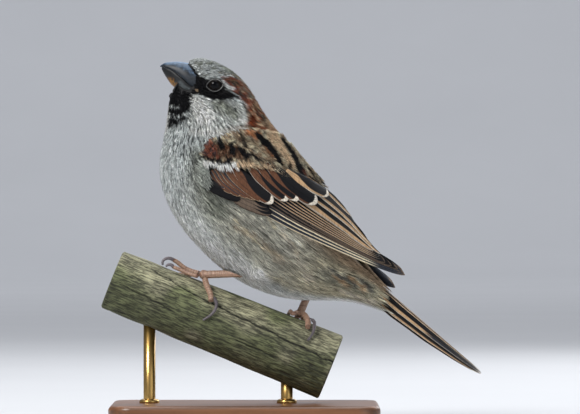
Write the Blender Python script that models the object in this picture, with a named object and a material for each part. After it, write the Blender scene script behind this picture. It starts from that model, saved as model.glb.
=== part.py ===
"""A male house sparrow, life size, on a cut length of branch that a small stand holds.

Metres, +Z up. The bird faces -X and its left side faces -Y. The origin is the middle of the
underside of the stand's base. The tables of sizes are in millimetres, and each shape is turned
into metres as its mesh is made.
"""

import math

import bmesh
import bpy
import numpy as np
from mathutils import Matrix, Vector
from mathutils.bvhtree import BVHTree

COLLECTION = "house_sparrow"
MM = 0.001
GAP = 0.3  # what touching pieces keep between them
RIGHT, LEFT = 1, -1  # the sign of Y on each side of the bird

# The body, from the bill's base to the tail's: back edge and belly edge (x, z), half width, and
# how far below its middle the section is widest, as a share of its half height.
BODY = (
    ("face", (-19.1, 121.7), (-22.9, 112.2), 4.2, 0.00),
    ("forehead", (-16.4, 122.7), (-24.5, 110.5), 6.2, 0.10),
    ("crown", (-10.1, 121.6), (-26.0, 104.5), 8.3, 0.20),
    ("cheeks", (-4.0, 118.4), (-26.5, 100.8), 9.9, 0.22),
    ("nape", (1.7, 112.5), (-27.5, 95.8), 11.6, 0.12),
    ("neck", (5.7, 105.8), (-28.8, 88.4), 14.8, 0.00),
    ("shoulders", (10.4, 99.1), (-28.3, 80.4), 18.6, 0.00),
    ("breast", (16.4, 92.9), (-24.8, 71.0), 20.8, 0.00),
    ("back", (23.8, 83.7), (-15.7, 58.9), 21.4, -0.06),
    ("belly", (29.1, 73.3), (-2.3, 47.9), 19.8, -0.16),
    ("rump", (35.2, 61.9), (16.8, 41.5), 15.4, -0.10),
    ("vent", (42.5, 51.7), (35.2, 40.8), 9.2, 0.00),
    ("tail_root", (51.9, 41.7), (54.6, 33.8), 5.4, 0.00),
)
BODY_POINTS_ROUND = 24
BODY_HALF_WIDTH = max(station[3] for station in BODY)
BODY_SQUARENESS = 0.92  # under 1 makes the sides of a section fuller than an ellipse's
HEAD_RING_STEP = 2.0
TRUNK_RING_STEP = 4.0

# Upper and lower halves of the bill, base to tip: ridge or keel (x, z), cutting edge (x, z) and
# half width at the cutting edge.
BILL_UPPER = (
    ((-19.8, 120.9), (-21.8, 115.9), 3.9),
    ((-22.1, 121.2), (-23.7, 117.6), 3.1),
    ((-24.8, 121.1), (-25.7, 118.7), 2.1),
    ((-27.0, 120.8), (-27.4, 119.3), 1.1),
    ((-28.3, 120.0), (-28.3, 119.6), 0.3),
)
BILL_LOWER = (
    ((-23.2, 112.5), (-21.9, 115.6), 3.7),
    ((-24.9, 113.9), (-23.8, 117.2), 2.9),
    ((-26.4, 116.0), (-25.8, 118.3), 1.9),
    ((-27.5, 117.8), (-27.3, 119.0), 0.9),
    ((-27.8, 118.8), (-27.9, 119.2), 0.3),
)
BILL_RINGS = 10

EYE_X, EYE_Z = -10.0, 113.3
EYE_RADIUS = 3.0
EYE_OUT = 6.5  # how far the eyeball's centre is from the middle plane

# A folded wing, shoulder to tip: upper edge (x, z), lower edge (x, z), and how far out from the
# middle plane the upper edge, the middle and the lower edge are where nothing pushes them out.
WING = (
    ((-13.1, 92.8), (-13.7, 89.1), 17.3, 17.9, 18.3),
    ((-11.1, 95.8), (-13.1, 81.4), 16.4, 19.6, 20.1),
    ((-4.4, 96.4), (-7.7, 76.8), 16.8, 21.2, 21.6),
    ((3.4, 92.8), (0.3, 74.0), 17.2, 21.7, 22.3),
    ((11.7, 87.4), (8.4, 69.3), 16.2, 21.3, 21.9),
    ((20.4, 82.4), (18.4, 64.6), 12.6, 19.4, 20.6),
    ((28.2, 77.8), (26.8, 60.8), 7.4, 14.8, 17.4),
    ((34.7, 70.0), (34.2, 57.6), 4.2, 10.4, 13.4),
    ((41.9, 60.4), (41.5, 54.2), 3.3, 7.0, 9.6),
    ((48.6, 54.4), (48.2, 51.4), 3.4, 5.1, 6.3),
    ((53.4, 50.2), (53.3, 49.4), 4.0, 4.3, 4.6),
)
WING_RINGS = 19
WING_PROUD = 0.95  # the least that a wing's outer face stands out from the flank
WING_POINTS_ACROSS = 8
WING_DEPTH_AT_SHOULDER = 4.0
WING_DEPTH_AT_TIP = 0.9
WING_PIVOT = (-6.0, 88.0)
RIGHT_WING_DROOP = math.radians(4.3)

# The folded tail, root to tip: top edge (x, z), lower edge (x, z), half width and thickness.
TAIL = (
    ((52.3, 41.4), (54.5, 34.2), 4.9, 4.6),
    ((57.0, 38.0), (57.7, 31.4), 5.6, 3.8),
    ((62.0, 33.7), (62.0, 28.5), 6.2, 3.0),
    ((67.0, 29.4), (66.4, 25.6), 6.6, 2.3),
    ((72.0, 24.9), (70.6, 22.5), 6.9, 1.7),
    ((76.0, 20.9), (73.8, 19.9), 6.8, 1.2),
    ((78.6, 17.8), (76.4, 18.0), 5.8, 0.9),
)
TAIL_RINGS = 13
TAIL_POINTS_ACROSS = 9

# The perch is a slightly tapered round length, on a sloping axis in the middle plane.
PERCH_START = (-44.5, 0.0, 48.5)
PERCH_SLOPE = math.radians(-21.9)
PERCH_LENGTH = 79.0
PERCH_RADIUS_START, PERCH_RADIUS_END = 10.1, 11.3
PERCH_RINGS = 17
PERCH_POINTS_ROUND = 28

# Paths over the perch: distance along it, angle from its top towards the bird's left (degrees),
# and height of the piece's own axis over the bark.
FEET = {
    "left": {
        "ankle": (5.0, -10.5, 50.7),
        "ball": (27.9, 11.0, 2.6),
        "toe_middle": ((26.2, 4, 2.2), (23.1, -2, 1.9), (20.3, -3, 2.3), (18.0, -3, 3.1), (16.5, -2, 3.3)),
        "claw_middle": ((16.9, -2, 3.3), (15.0, 0, 3.3), (13.9, 1, 2.5), (13.5, 2, 1.4), (13.9, 4, 0.6)),
        "toe_outer": ((26.2, 20, 1.9), (23.8, 14, 1.3), (20.6, 10, 1.2), (17.4, 8, 1.2)),
        "claw_outer": ((17.7, 8, 1.2), (16.5, 8, 1.6), (15.6, 9, 1.3), (15.2, 10, 0.6)),
        "toe_inner": ((26.4, -6, 1.9), (23.8, -20, 1.3), (20.4, -32, 1.2), (17.6, -44, 1.25)),
        "claw_inner": ((17.9, -43, 1.3), (16.3, -50, 1.9), (15.4, -58, 1.6), (15.2, -65, 0.6)),
        "toe_hind": ((29.0, 22, 1.9), (31.0, 41, 1.6), (32.7, 52, 1.6), (33.5, 62, 1.6)),
        "claw_hind": ((33.2, 56, 2.1), (34.9, 59, 1.9), (35.9, 68, 1.4), (35.5, 80, 0.9), (33.4, 96, 0.6)),
    },
    "right": {
        "ankle": (25.6, 9.0, 53.8),
        "ball": (62.7, -10.0, 2.1),
        "toe_middle": ((62.3, -24, 1.7), (61.9, -40, 1.3), (61.6, -58, 1.2), (61.5, -76, 1.25)),
        "claw_middle": ((61.5, -74, 1.3), (61.4, -84, 1.9), (61.3, -93, 1.5), (61.2, -99, 0.6)),
        "toe_outer": ((64.0, -22, 1.7), (65.4, -38, 1.25), (66.4, -54, 1.2), (67.0, -68, 1.25)),
        "claw_outer": ((67.0, -66, 1.3), (67.5, -76, 1.8), (67.8, -84, 1.4), (68.0, -90, 0.6)),
        "toe_inner": ((61.6, 6, 1.9), (60.4, 17, 1.3), (59.6, 2, 1.3), (59.3, -16, 1.2), (59.2, -34, 1.25)),
        "claw_inner": ((59.2, -32, 1.3), (59.1, -42, 1.8), (59.0, -50, 1.4), (59.0, -57, 0.6)),
        "toe_hind": ((64.0, 0, 1.9), (65.5, 16, 1.5), (66.3, 29, 1.5), (66.7, 41, 1.5)),
        "claw_hind": ((66.2, 24, 2.2), (67.6, 22, 2.2), (68.7, 35, 1.7), (69.0, 47, 1.2), (68.3, 62, 0.6)),
    },
}
SIDES = {"left": LEFT, "right": RIGHT}
TOES = ("middle", "inner", "outer", "hind")
TOE_RADIUS = {"middle": 0.92, "inner": 0.78, "outer": 0.78, "hind": 1.12}
CLAW_RADIUS, CLAW_TIP_RADIUS = 0.55, 0.25
TARSUS_RADIUS_AT_ANKLE, TARSUS_RADIUS_AT_FOOT = 1.2, 1.35
BALL_RADIUS = 1.6
TOE_POINTS_PER_SPAN, CLAW_POINTS_PER_SPAN = 2, 2

# Feathered thighs: middle, the way from knee to ankle, and the three half lengths.
THIGHS = {
    "left": ((9.4, -12.6, 55.4), (-0.76, 0.22, -0.61), (10.5, 5.8, 6.2)),
    "right": ((21.6, 11.4, 54.0), (0.34, -0.26, -0.90), (10.5, 5.6, 6.0)),
}

BASE_SIZE = (90.0, 70.0, 7.0)
BASE_CORNER_RADIUS = 8.0
BASE_EDGE_RADIUS = 1.2
ROD_RADIUS = 2.0
ROD_PLACES = {"front": -32.0, "back": 14.0}
HOLE_DEPTH = 4.0

COLOURS = {
    "grey_brown_feather": ((0.36, 0.31, 0.25), 0.9, 0.0),
    "grey_crown_feather": ((0.25, 0.24, 0.22), 0.9, 0.0),
    "buff_neck_feather": ((0.42, 0.36, 0.29), 0.9, 0.0),
    "chestnut_feather": ((0.28, 0.13, 0.06), 0.85, 0.0),
    "dark_tail_feather": ((0.09, 0.07, 0.06), 0.85, 0.0),
    "eye": ((0.01, 0.008, 0.006), 0.08, 0.0),
    "bill": ((0.06, 0.06, 0.065), 0.4, 0.0),
    "leg_skin": ((0.42, 0.22, 0.15), 0.55, 0.0),
    "claw": ((0.12, 0.09, 0.08), 0.35, 0.0),
    "bark": ((0.17, 0.15, 0.09), 0.95, 0.0),
    "stand_wood": ((0.10, 0.05, 0.03), 0.4, 0.0),
    "stand_brass": ((0.72, 0.53, 0.26), 0.3, 1.0),
}


def clear_scene():
    for obj in list(bpy.data.objects):
        bpy.data.objects.remove(obj, do_unlink=True)


def new_collection(name):
    collection = bpy.data.collections.new(name)
    bpy.context.scene.collection.children.link(collection)
    return collection


def make_materials():
    made = {}
    for name, (colour, roughness, metallic) in COLOURS.items():
        material = bpy.data.materials.new(name)
        material.use_nodes = True
        shader = material.node_tree.nodes["Principled BSDF"]
        shader.inputs["Base Color"].default_value = (*colour, 1.0)
        shader.inputs["Roughness"].default_value = roughness
        shader.inputs["Metallic"].default_value = metallic
        made[name] = material
    return made


def spline(values, count):
    """Rows of values read at evenly spaced places along a natural cubic through them."""
    values = np.asarray(values, float)
    steps = np.linalg.norm(np.diff(values, axis=0), axis=1)
    knots = np.concatenate([[0.0], np.cumsum(steps)])
    inner = len(knots) - 2
    system = np.eye(inner + 2)
    right = np.zeros_like(values)
    for i in range(1, inner + 1):
        system[i, i - 1] = steps[i - 1]
        system[i, i] = 2 * (steps[i - 1] + steps[i])
        system[i, i + 1] = steps[i]
        right[i] = 6 * ((values[i + 1] - values[i]) / steps[i] - (values[i] - values[i - 1]) / steps[i - 1])
    bend = np.linalg.solve(system, right)
    places = np.linspace(0.0, knots[-1], count)
    span = np.clip(np.searchsorted(knots, places, side="right") - 1, 0, len(steps) - 1)
    width = steps[span][:, None]
    after = (places - knots[span])[:, None]
    before = width - after
    return (
        (bend[span] * before**3 + bend[span + 1] * after**3) / (6 * width)
        + (values[span] / width - bend[span] * width / 6) * before
        + (values[span + 1] / width - bend[span + 1] * width / 6) * after
    )


def add_object(name, mesh, material, collection):
    obj = bpy.data.objects.new(name, mesh)
    mesh.materials.clear()
    mesh.materials.append(material)
    collection.objects.link(obj)
    return obj


def mesh_from(form, name):
    """A mesh from a bmesh, its faces turned outwards, shaded smooth with sharp rims."""
    bmesh.ops.recalc_face_normals(form, faces=form.faces)
    mesh = bpy.data.meshes.new(name)
    form.to_mesh(mesh)
    form.free()
    mesh.shade_smooth()
    mesh.set_sharp_from_angle(angle=math.radians(40))
    return mesh


def loft(rings, name):
    """A closed solid through rings of points in millimetres, with a cap on the first and last."""
    form = bmesh.new()
    rows = [[form.verts.new(Vector(point) * MM) for point in ring] for ring in rings]
    for row, following in zip(rows[:-1], rows[1:]):
        for i in range(len(row)):
            j = (i + 1) % len(row)
            form.faces.new((row[i], row[j], following[j], following[i]))
    form.faces.new(rows[0])
    form.faces.new(rows[-1])
    return mesh_from(form, name)


def tube(path, radii, name, grow=0.0):
    """A round, closed tube along a path in millimetres, as wide as the radii say."""
    curve = bpy.data.curves.new(name, "CURVE")
    curve.dimensions = "3D"
    curve.bevel_depth = MM
    curve.bevel_resolution = 2
    curve.use_fill_caps = True
    line = curve.splines.new("POLY")
    line.points.add(len(path) - 1)
    for point, place, radius in zip(line.points, path, radii):
        point.co = (*(Vector(place) * MM), 1.0)
        point.radius = radius + grow
    guide = bpy.data.objects.new(name + "_guide", curve)
    bpy.context.scene.collection.objects.link(guide)
    graph = bpy.context.evaluated_depsgraph_get()
    form = bmesh.new()
    form.from_mesh(bpy.data.meshes.new_from_object(guide.evaluated_get(graph)))
    bpy.data.objects.remove(guide, do_unlink=True)
    bmesh.ops.remove_doubles(form, verts=form.verts, dist=1e-6)
    return mesh_from(form, name)


def ball(centre, radii, name, turn=None, segments=16):
    """A sphere, stretched to three half lengths, turned and moved into place."""
    form = bmesh.new()
    bmesh.ops.create_uvsphere(form, u_segments=segments, v_segments=segments * 5 // 8, radius=1.0)
    place = Matrix.Translation(Vector(centre) * MM)
    size = Matrix.Diagonal((*(Vector(radii) * MM), 1.0))
    bmesh.ops.transform(form, matrix=place @ (turn or Matrix()) @ size, verts=form.verts)
    return mesh_from(form, name)


def rod(low, high, radius, name, segments=20):
    """An upright round bar between two heights."""
    form = bmesh.new()
    bmesh.ops.create_cone(
        form, cap_ends=True, segments=segments, radius1=radius * MM, radius2=radius * MM, depth=(high[2] - low[2]) * MM
    )
    middle = (Vector(low) + Vector(high)) / 2 * MM
    bmesh.ops.translate(form, vec=middle, verts=form.verts)
    return mesh_from(form, name)


class Workshop:
    """The collections and materials that every piece is made with."""

    def __init__(self):
        self.parts = new_collection(COLLECTION)
        self.tools = new_collection("cutters")
        self.tools.hide_render = True
        self.materials = make_materials()

    def part(self, name, mesh, material):
        return add_object(name, mesh, self.materials[material], self.parts)

    def cutter(self, name, mesh):
        obj = add_object("cut_" + name, mesh, self.materials["bark"], self.tools)
        obj.hide_render = True
        obj.display_type = "WIRE"
        return obj

    def cut(self, part, cutter):
        """Takes the cutter's shape out of the part."""
        modifier = part.modifiers.new(cutter.name, "BOOLEAN")
        modifier.operation = "DIFFERENCE"
        modifier.solver = "EXACT"
        modifier.object = cutter


# The body


def body_rings(first, last, step, grow=0.0, shorten=GAP / 2):
    """Oval rings from one named station to another.

    Each ring lies in the plane of its back point, its belly point and the Y axis. At angle a from
    the back its height is cos a, less the drop times sin a squared, and its width is sin a raised
    to the squareness. The end rings are moved in by half the gap between two pieces.
    """
    names = [station[0] for station in BODY]
    rows = np.array([(*back, *belly, wide, drop) for _, back, belly, wide, drop in BODY])
    fine = spline(rows, 20 * len(BODY))
    mid = (fine[:, 0:2] + fine[:, 2:4]) / 2
    ends = [
        np.argmin(np.linalg.norm(mid - (rows[i, 0:2] + rows[i, 2:4]) / 2, axis=1))
        for i in (names.index(first), names.index(last))
    ]
    travel = np.concatenate([[0.0], np.cumsum(np.linalg.norm(np.diff(fine[:, 0:4], axis=0), axis=1) / math.sqrt(2))])
    count = max(3, round((travel[ends[1]] - travel[ends[0]]) / step))
    places = np.linspace(travel[ends[0]], travel[ends[1]], count)
    read = np.stack([np.interp(places, travel, column) for column in fine.T], axis=1)
    angle = np.arange(BODY_POINTS_ROUND) * math.tau / BODY_POINTS_ROUND
    rings = []
    for i, (back_x, back_z, belly_x, belly_z, wide, drop) in enumerate(read):
        half = np.array([back_x - belly_x, 0.0, back_z - belly_z]) / 2
        length = np.linalg.norm(half)
        up = half / length
        along = np.array([-up[2], 0.0, up[0]])
        along *= -1 if along[0] < 0 else 1
        shift = along * shorten * ((i == 0) - (i == count - 1.0))
        centre = np.array([back_x + belly_x, 0.0, back_z + belly_z]) / 2 + shift
        high = np.cos(angle) - drop * np.sin(angle) ** 2
        sideways = np.sign(np.sin(angle)) * np.abs(np.sin(angle)) ** BODY_SQUARENESS
        ring = centre + high[:, None] * up * (length + grow)
        ring[:, 1] += sideways * (wide + grow)
        rings.append(ring)
    return rings


def make_body(shop):
    """Head, neck and trunk, parted by flat cuts."""
    head = shop.part("head", loft(body_rings("face", "nape", HEAD_RING_STEP), "head"), "grey_crown_feather")
    neck = shop.part("neck", loft(body_rings("nape", "neck", HEAD_RING_STEP), "neck"), "buff_neck_feather")
    trunk = shop.part("trunk", loft(body_rings("neck", "tail_root", TRUNK_RING_STEP), "trunk"), "grey_brown_feather")
    return head, neck, trunk


def make_eyes(shop, head):
    for side, sign in SIDES.items():
        centre = (EYE_X, sign * EYE_OUT, EYE_Z)
        turn = Matrix.Rotation(math.radians(90), 4, "X")
        shop.part(f"eye_{side}", ball(centre, [EYE_RADIUS] * 3, "eye", turn), "eye")
        socket = ball(centre, [EYE_RADIUS + GAP] * 3, "socket", turn)
        shop.cut(head, shop.cutter(f"socket_{side}", socket))


# The bill


def bill_rings(stations):
    """D-shaped rings: half an ellipse from cutting edge over the ridge to cutting edge, and a flat."""
    rows = spline([(*ridge, *edge, wide) for ridge, edge, wide in stations], BILL_RINGS)
    angle = np.linspace(-math.pi / 2, math.pi / 2, 11)
    rings = []
    for ridge_x, ridge_z, edge_x, edge_z, wide in rows:
        edge = np.array([edge_x, 0.0, edge_z])
        rise = np.array([ridge_x - edge_x, 0.0, ridge_z - edge_z])
        ring = edge + np.cos(angle)[:, None] * rise
        ring[:, 1] += np.sin(angle) * wide
        rings.append(ring)
    return rings


def make_bill(shop):
    shop.part("bill_upper", loft(bill_rings(BILL_UPPER), "bill_upper"), "bill")
    shop.part("bill_lower", loft(bill_rings(BILL_LOWER), "bill_lower"), "bill")


# The wings and tail


def wing_faces():
    """The outer face's points, station by station, and how deep the wing is at each station.

    Across the wing the face is a parabola through the upper edge, the middle and the lower edge.
    """
    rows = spline([(*upper, *lower, *out) for upper, lower, *out in WING], WING_RINGS)
    across = np.linspace(0.0, 1.0, WING_POINTS_ACROSS)
    faces = []
    for upper_x, upper_z, lower_x, lower_z, out_up, out_mid, out_low in rows:
        out = out_up * (1 - across) * (1 - 2 * across) + 4 * out_mid * across * (1 - across)
        out += out_low * across * (2 * across - 1)
        x = upper_x + (lower_x - upper_x) * across
        z = upper_z + (lower_z - upper_z) * across
        faces.append(np.stack([x, out, z], axis=1))
    return np.array(faces), np.linspace(WING_DEPTH_AT_SHOULDER, WING_DEPTH_AT_TIP, WING_RINGS)


def flank_out(tree, point):
    """How far out the flank is behind a point on a wing, or nothing where the wing is past it."""
    far_out = Vector((point[0], 3 * BODY_HALF_WIDTH, point[2])) * MM
    hit = tree.ray_cast(far_out, Vector((0.0, -1.0, 0.0)))[0]
    return 0.0 if hit is None else hit.y / MM


def make_wings(shop, trunk_space):
    """The left wing, and the right one turned a little down about the shoulder, over the flanks."""
    form = bmesh.new()
    form.from_mesh(trunk_space.data)
    flanks = BVHTree.FromBMesh(form)
    form.free()
    pivot = np.array([WING_PIVOT[0], 0.0, WING_PIVOT[1]])
    for side, sign in SIDES.items():
        outer, depths = wing_faces()
        if side == "right":
            outer = (outer - pivot) @ np.array(Matrix.Rotation(RIGHT_WING_DROOP, 3, "Y")).T + pivot
        flank = np.array([[flank_out(flanks, point) for point in ring] for ring in outer])
        outer[:, :, 1] = np.maximum(outer[:, :, 1], flank + WING_PROUD)
        inner = outer[:, ::-1].copy()
        inner[:, :, 1] -= depths[:, None]
        rings = np.concatenate([outer, inner], axis=1) * (1.0, sign, 1.0)
        wing = shop.part(f"wing_{side}", loft(rings, "wing"), "chestnut_feather")
        shop.cut(wing, trunk_space)


def tail_rings():
    """Rings round an arched plate: the top falls as a parabola from the middle to each edge."""
    rows = spline([(*top, *low, wide, thick) for top, low, wide, thick in TAIL], TAIL_RINGS)
    across = np.linspace(-1.0, 1.0, TAIL_POINTS_ACROSS)
    rings = []
    for top_x, top_z, low_x, low_z, wide, thick in rows:
        top = np.array([top_x, 0.0, top_z])
        fall = np.array([low_x - top_x, 0.0, low_z - top_z])
        down = fall / np.linalg.norm(fall)
        reach = max(np.linalg.norm(fall) - thick, 0.0)
        outer = top + np.outer(across**2 * reach, down)
        outer[:, 1] += across * wide
        inner = outer[::-1] + down * thick
        rings.append(np.concatenate([outer, inner]))
    return rings


def make_tail(shop):
    shop.part("tail", loft(tail_rings(), "tail"), "dark_tail_feather")


# The perch, and the legs that stand on it


def perch_frame():
    start = np.array(PERCH_START)
    along = np.array([math.cos(PERCH_SLOPE), 0.0, math.sin(PERCH_SLOPE)])
    up = np.array([-math.sin(PERCH_SLOPE), 0.0, math.cos(PERCH_SLOPE)])
    return start, along, up


def perch_radius(distance):
    return PERCH_RADIUS_START + (PERCH_RADIUS_END - PERCH_RADIUS_START) * distance / PERCH_LENGTH


def over_perch(place):
    """The point at a distance along the perch, an angle from its top to the left, and a height over it."""
    distance, degrees, lift = place
    start, along, up = perch_frame()
    angle = math.radians(degrees)
    out = up * math.cos(angle) + np.array([0.0, LEFT, 0.0]) * math.sin(angle)
    return start + along * distance + out * (perch_radius(distance) + lift)


def make_perch(shop):
    rings = []
    for distance in np.linspace(0.0, PERCH_LENGTH, PERCH_RINGS):
        degrees = np.arange(PERCH_POINTS_ROUND) * 360 / PERCH_POINTS_ROUND
        rings.append([over_perch((distance, a, 0.0)) for a in degrees])
    perch = shop.part("perch", loft(rings, "perch"), "bark")
    for name, x in ROD_PLACES.items():
        shop.cut(perch, shop.cutter(f"perch_hole_{name}", rod_form(x, GAP, "hole")))
    return perch


def perch_underside(x):
    """The height of the perch's underside over a place on the base."""
    start, along, up = perch_frame()
    distance = (x - start[0]) / along[0]
    return start[2] + along[2] * distance - perch_radius(distance) / up[2]


def rod_form(x, grow, name):
    """A rod from its hole in the base to its hole in the perch, or, grown, the space for it."""
    low = (x, 0.0, BASE_SIZE[2] - HOLE_DEPTH - grow)
    high = (x, 0.0, perch_underside(x) + HOLE_DEPTH + grow)
    return rod(low, high, ROD_RADIUS + grow, name)


def make_stand(shop):
    """A flat base with rounded corners and edges, and two upright rods let into it and the perch."""
    form = bmesh.new()
    bmesh.ops.create_cube(form, size=MM)
    bmesh.ops.scale(form, vec=BASE_SIZE, verts=form.verts)
    bmesh.ops.translate(form, vec=(0, 0, BASE_SIZE[2] / 2 * MM), verts=form.verts)
    upright = [edge for edge in form.edges if abs(edge.verts[0].co.z - edge.verts[1].co.z) > MM]
    bmesh.ops.bevel(
        form, geom=upright, offset=BASE_CORNER_RADIUS * MM, segments=4, profile=0.5, affect="EDGES"
    )
    top = [edge for edge in form.edges if min(v.co.z for v in edge.verts) > (BASE_SIZE[2] - 0.01) * MM]
    bmesh.ops.bevel(form, geom=top, offset=BASE_EDGE_RADIUS * MM, segments=2, profile=0.5, affect="EDGES")
    base = shop.part("stand_base", mesh_from(form, "stand_base"), "stand_wood")
    for name, x in ROD_PLACES.items():
        shop.part(f"stand_rod_{name}", rod_form(x, 0.0, "rod"), "stand_brass")
        shop.cut(base, shop.cutter(f"base_hole_{name}", rod_form(x, GAP, "hole")))


def make_thighs(shop, trunk):
    """Long ovals sunk in the flanks, each standing a little proud of the trunk."""
    forms = {}
    for side, (centre, way, radii) in THIGHS.items():
        turn = Vector(way).to_track_quat("X", "Z").to_matrix().to_4x4()
        shop.part(f"thigh_{side}", ball(centre, radii, "thigh", turn), "grey_brown_feather")
        grown = ball(centre, [radius + GAP for radius in radii], "thigh_space", turn)
        forms[side] = shop.cutter(f"thigh_{side}", grown)
        shop.cut(trunk, forms[side])
    return forms


def toe_path(places, points_per_span):
    points = np.array([over_perch(place) for place in places])
    return spline(points, points_per_span * (len(places) - 1) + 1)


def make_leg(shop, side, plan, trunk_form, thigh_form):
    """A tarsus with the ball of the foot, and four toes and claws, each parted from its neighbours."""
    foot = over_perch(plan["ball"])
    ankle = np.array(plan["ankle"])
    shin = np.linspace(ankle, foot, 5)
    widths = np.linspace(TARSUS_RADIUS_AT_ANKLE, TARSUS_RADIUS_AT_FOOT, 5)
    tarsus = shop.part(f"tarsus_{side}", tube(shin, widths, "tarsus"), "leg_skin")
    shop.cut(tarsus, trunk_form)
    shop.cut(tarsus, thigh_form)
    pad = shop.cutter(f"ball_{side}", ball(foot, [BALL_RADIUS] * 3, "ball"))
    join = tarsus.modifiers.new("ball", "BOOLEAN")
    join.operation = "UNION"
    join.solver = "EXACT"
    join.object = pad
    shank = shop.cutter(f"shank_{side}", tube(shin, widths, "shank", GAP))
    pad_space = shop.cutter(f"ball_space_{side}", ball(foot, [BALL_RADIUS + GAP] * 3, "ball_space"))
    spaces = []
    for toe in TOES:
        path = toe_path(plan[f"toe_{toe}"], TOE_POINTS_PER_SPAN)
        radii = TOE_RADIUS[toe] * np.linspace(1.0, 0.85, len(path))
        piece = shop.part(f"toe_{side}_{toe}", tube(path, radii, "toe"), "leg_skin")
        for other in (pad_space, shank, *spaces):
            shop.cut(piece, other)
        space = shop.cutter(f"toe_{side}_{toe}", tube(path, radii, "toe_space", GAP))
        spaces.append(space)
        nail = toe_path(plan[f"claw_{toe}"], CLAW_POINTS_PER_SPAN)
        taper = np.linspace(CLAW_RADIUS, CLAW_TIP_RADIUS, len(nail))
        claw = shop.part(f"claw_{side}_{toe}", tube(nail, taper, "claw"), "claw")
        shop.cut(claw, space)


def main():
    clear_scene()
    shop = Workshop()
    head, _, trunk = make_body(shop)
    make_eyes(shop, head)
    make_bill(shop)
    grown = loft(body_rings("neck", "tail_root", TRUNK_RING_STEP, GAP, -GAP), "trunk_space")
    trunk_form = shop.cutter("trunk", grown)
    make_wings(shop, trunk_form)
    make_tail(shop)
    make_perch(shop)
    make_stand(shop)
    thigh_forms = make_thighs(shop, trunk)
    for side, plan in FEET.items():
        make_leg(shop, side, plan, trunk_form, thigh_forms[side])


if __name__ == "__main__":
    main()
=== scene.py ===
"""A male house sparrow on a cut branch: its skin, plumage, bill, eyes, feet, perch, stand and stage.

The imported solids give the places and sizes. The tables are in millimetres in the solids' frame
(X from bill to tail, Y across with the left side at -Y, Z up). Meshes are written in metres.
"""

from functools import lru_cache, partial

import bpy
import numpy as np
from bpy.props import FloatProperty, FloatVectorProperty, IntProperty, PointerProperty
from bpy.types import Operator, Panel, PropertyGroup
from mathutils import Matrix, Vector
from mathutils.bvhtree import BVHTree


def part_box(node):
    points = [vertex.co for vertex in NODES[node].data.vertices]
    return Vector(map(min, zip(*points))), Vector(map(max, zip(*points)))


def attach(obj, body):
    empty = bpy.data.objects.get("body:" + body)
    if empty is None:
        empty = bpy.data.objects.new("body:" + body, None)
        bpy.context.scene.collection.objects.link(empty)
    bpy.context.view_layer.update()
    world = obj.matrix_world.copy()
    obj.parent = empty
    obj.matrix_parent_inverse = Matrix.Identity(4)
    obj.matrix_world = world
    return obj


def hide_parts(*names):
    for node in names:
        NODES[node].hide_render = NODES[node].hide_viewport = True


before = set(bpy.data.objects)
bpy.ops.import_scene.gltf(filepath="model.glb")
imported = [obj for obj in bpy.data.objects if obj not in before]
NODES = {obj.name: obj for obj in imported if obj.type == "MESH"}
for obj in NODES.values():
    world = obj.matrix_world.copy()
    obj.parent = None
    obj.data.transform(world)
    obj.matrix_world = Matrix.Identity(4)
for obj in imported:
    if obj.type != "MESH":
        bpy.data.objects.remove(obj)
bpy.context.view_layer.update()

bl_info = {
    "name": "House sparrow",
    "version": (1, 0, 0),
    "blender": (4, 5, 0),
    "location": "View3D > Sidebar > Sparrow",
    "description": "Makes the plumage, bare parts, perch, stand and stage of a house sparrow",
    "category": "Add Mesh",
}

MM = 0.001
LEFT, RIGHT = -1, 1  # the sign of Y on each side of the bird
SIDES = {"left": LEFT, "right": RIGHT}
FILLING_ROUNDS = 500  # enough for gaps in a measured surface to lie smooth


# ---- numbers


def lengths(vectors):
    """How long each vector is."""
    return np.linalg.norm(vectors, axis=-1)


def unit(vectors):
    """Each vector divided by its length."""
    return vectors / np.maximum(np.linalg.norm(vectors, axis=-1, keepdims=True), 1e-9)


def ramp(low, high, value):
    """0 below low, 1 above high, and 3t^2 - 2t^3 between them."""
    share = np.clip((value - low) / (high - low), 0, 1)
    return share * share * (3 - 2 * share)


def joined(*numbers):
    """Numbers or grids of them side by side along a new last axis."""
    return np.stack(np.broadcast_arrays(*numbers), -1)


def mixed(first, second, share):
    """first where share is 0, second where it is 1, and a straight line between."""
    return first + (second - first) * share


def laid(base, colour, amount):
    """base with a colour laid over it, by an amount for each place."""
    return mixed(base, colour, np.asarray(amount)[..., None])


def chords(places):
    """How far along its chords each place of a line lies; only the first four columns count."""
    steps = lengths(np.diff(places[:, :4], axis=0))
    return np.r_[0, np.cumsum(steps)]


def through(places, shares):
    """Points on the smooth curve through places, at shares of its chord length.

    Each span is a cubic whose end slopes are the differences of the neighbouring places.
    """
    places = np.array(places, float)
    along = chords(places)
    slopes = np.gradient(places, along, axis=0)
    at = np.asarray(shares) * along[-1]
    span = np.clip(np.searchsorted(along, at, side="right") - 1, 0, len(places) - 2)
    length = (along[span + 1] - along[span])[:, None]
    t = (at - along[span])[:, None] / length
    start = (1 + 2 * t) * (1 - t) ** 2 * places[span] + t * (1 - t) ** 2 * length * slopes[span]
    end = t * t * (3 - 2 * t) * places[span + 1] + t * t * (t - 1) * length * slopes[span + 1]
    return start + end


def circle(count):
    """That many angles, evenly all the way round."""
    return np.linspace(0, 2 * np.pi, count, endpoint=False)


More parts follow.
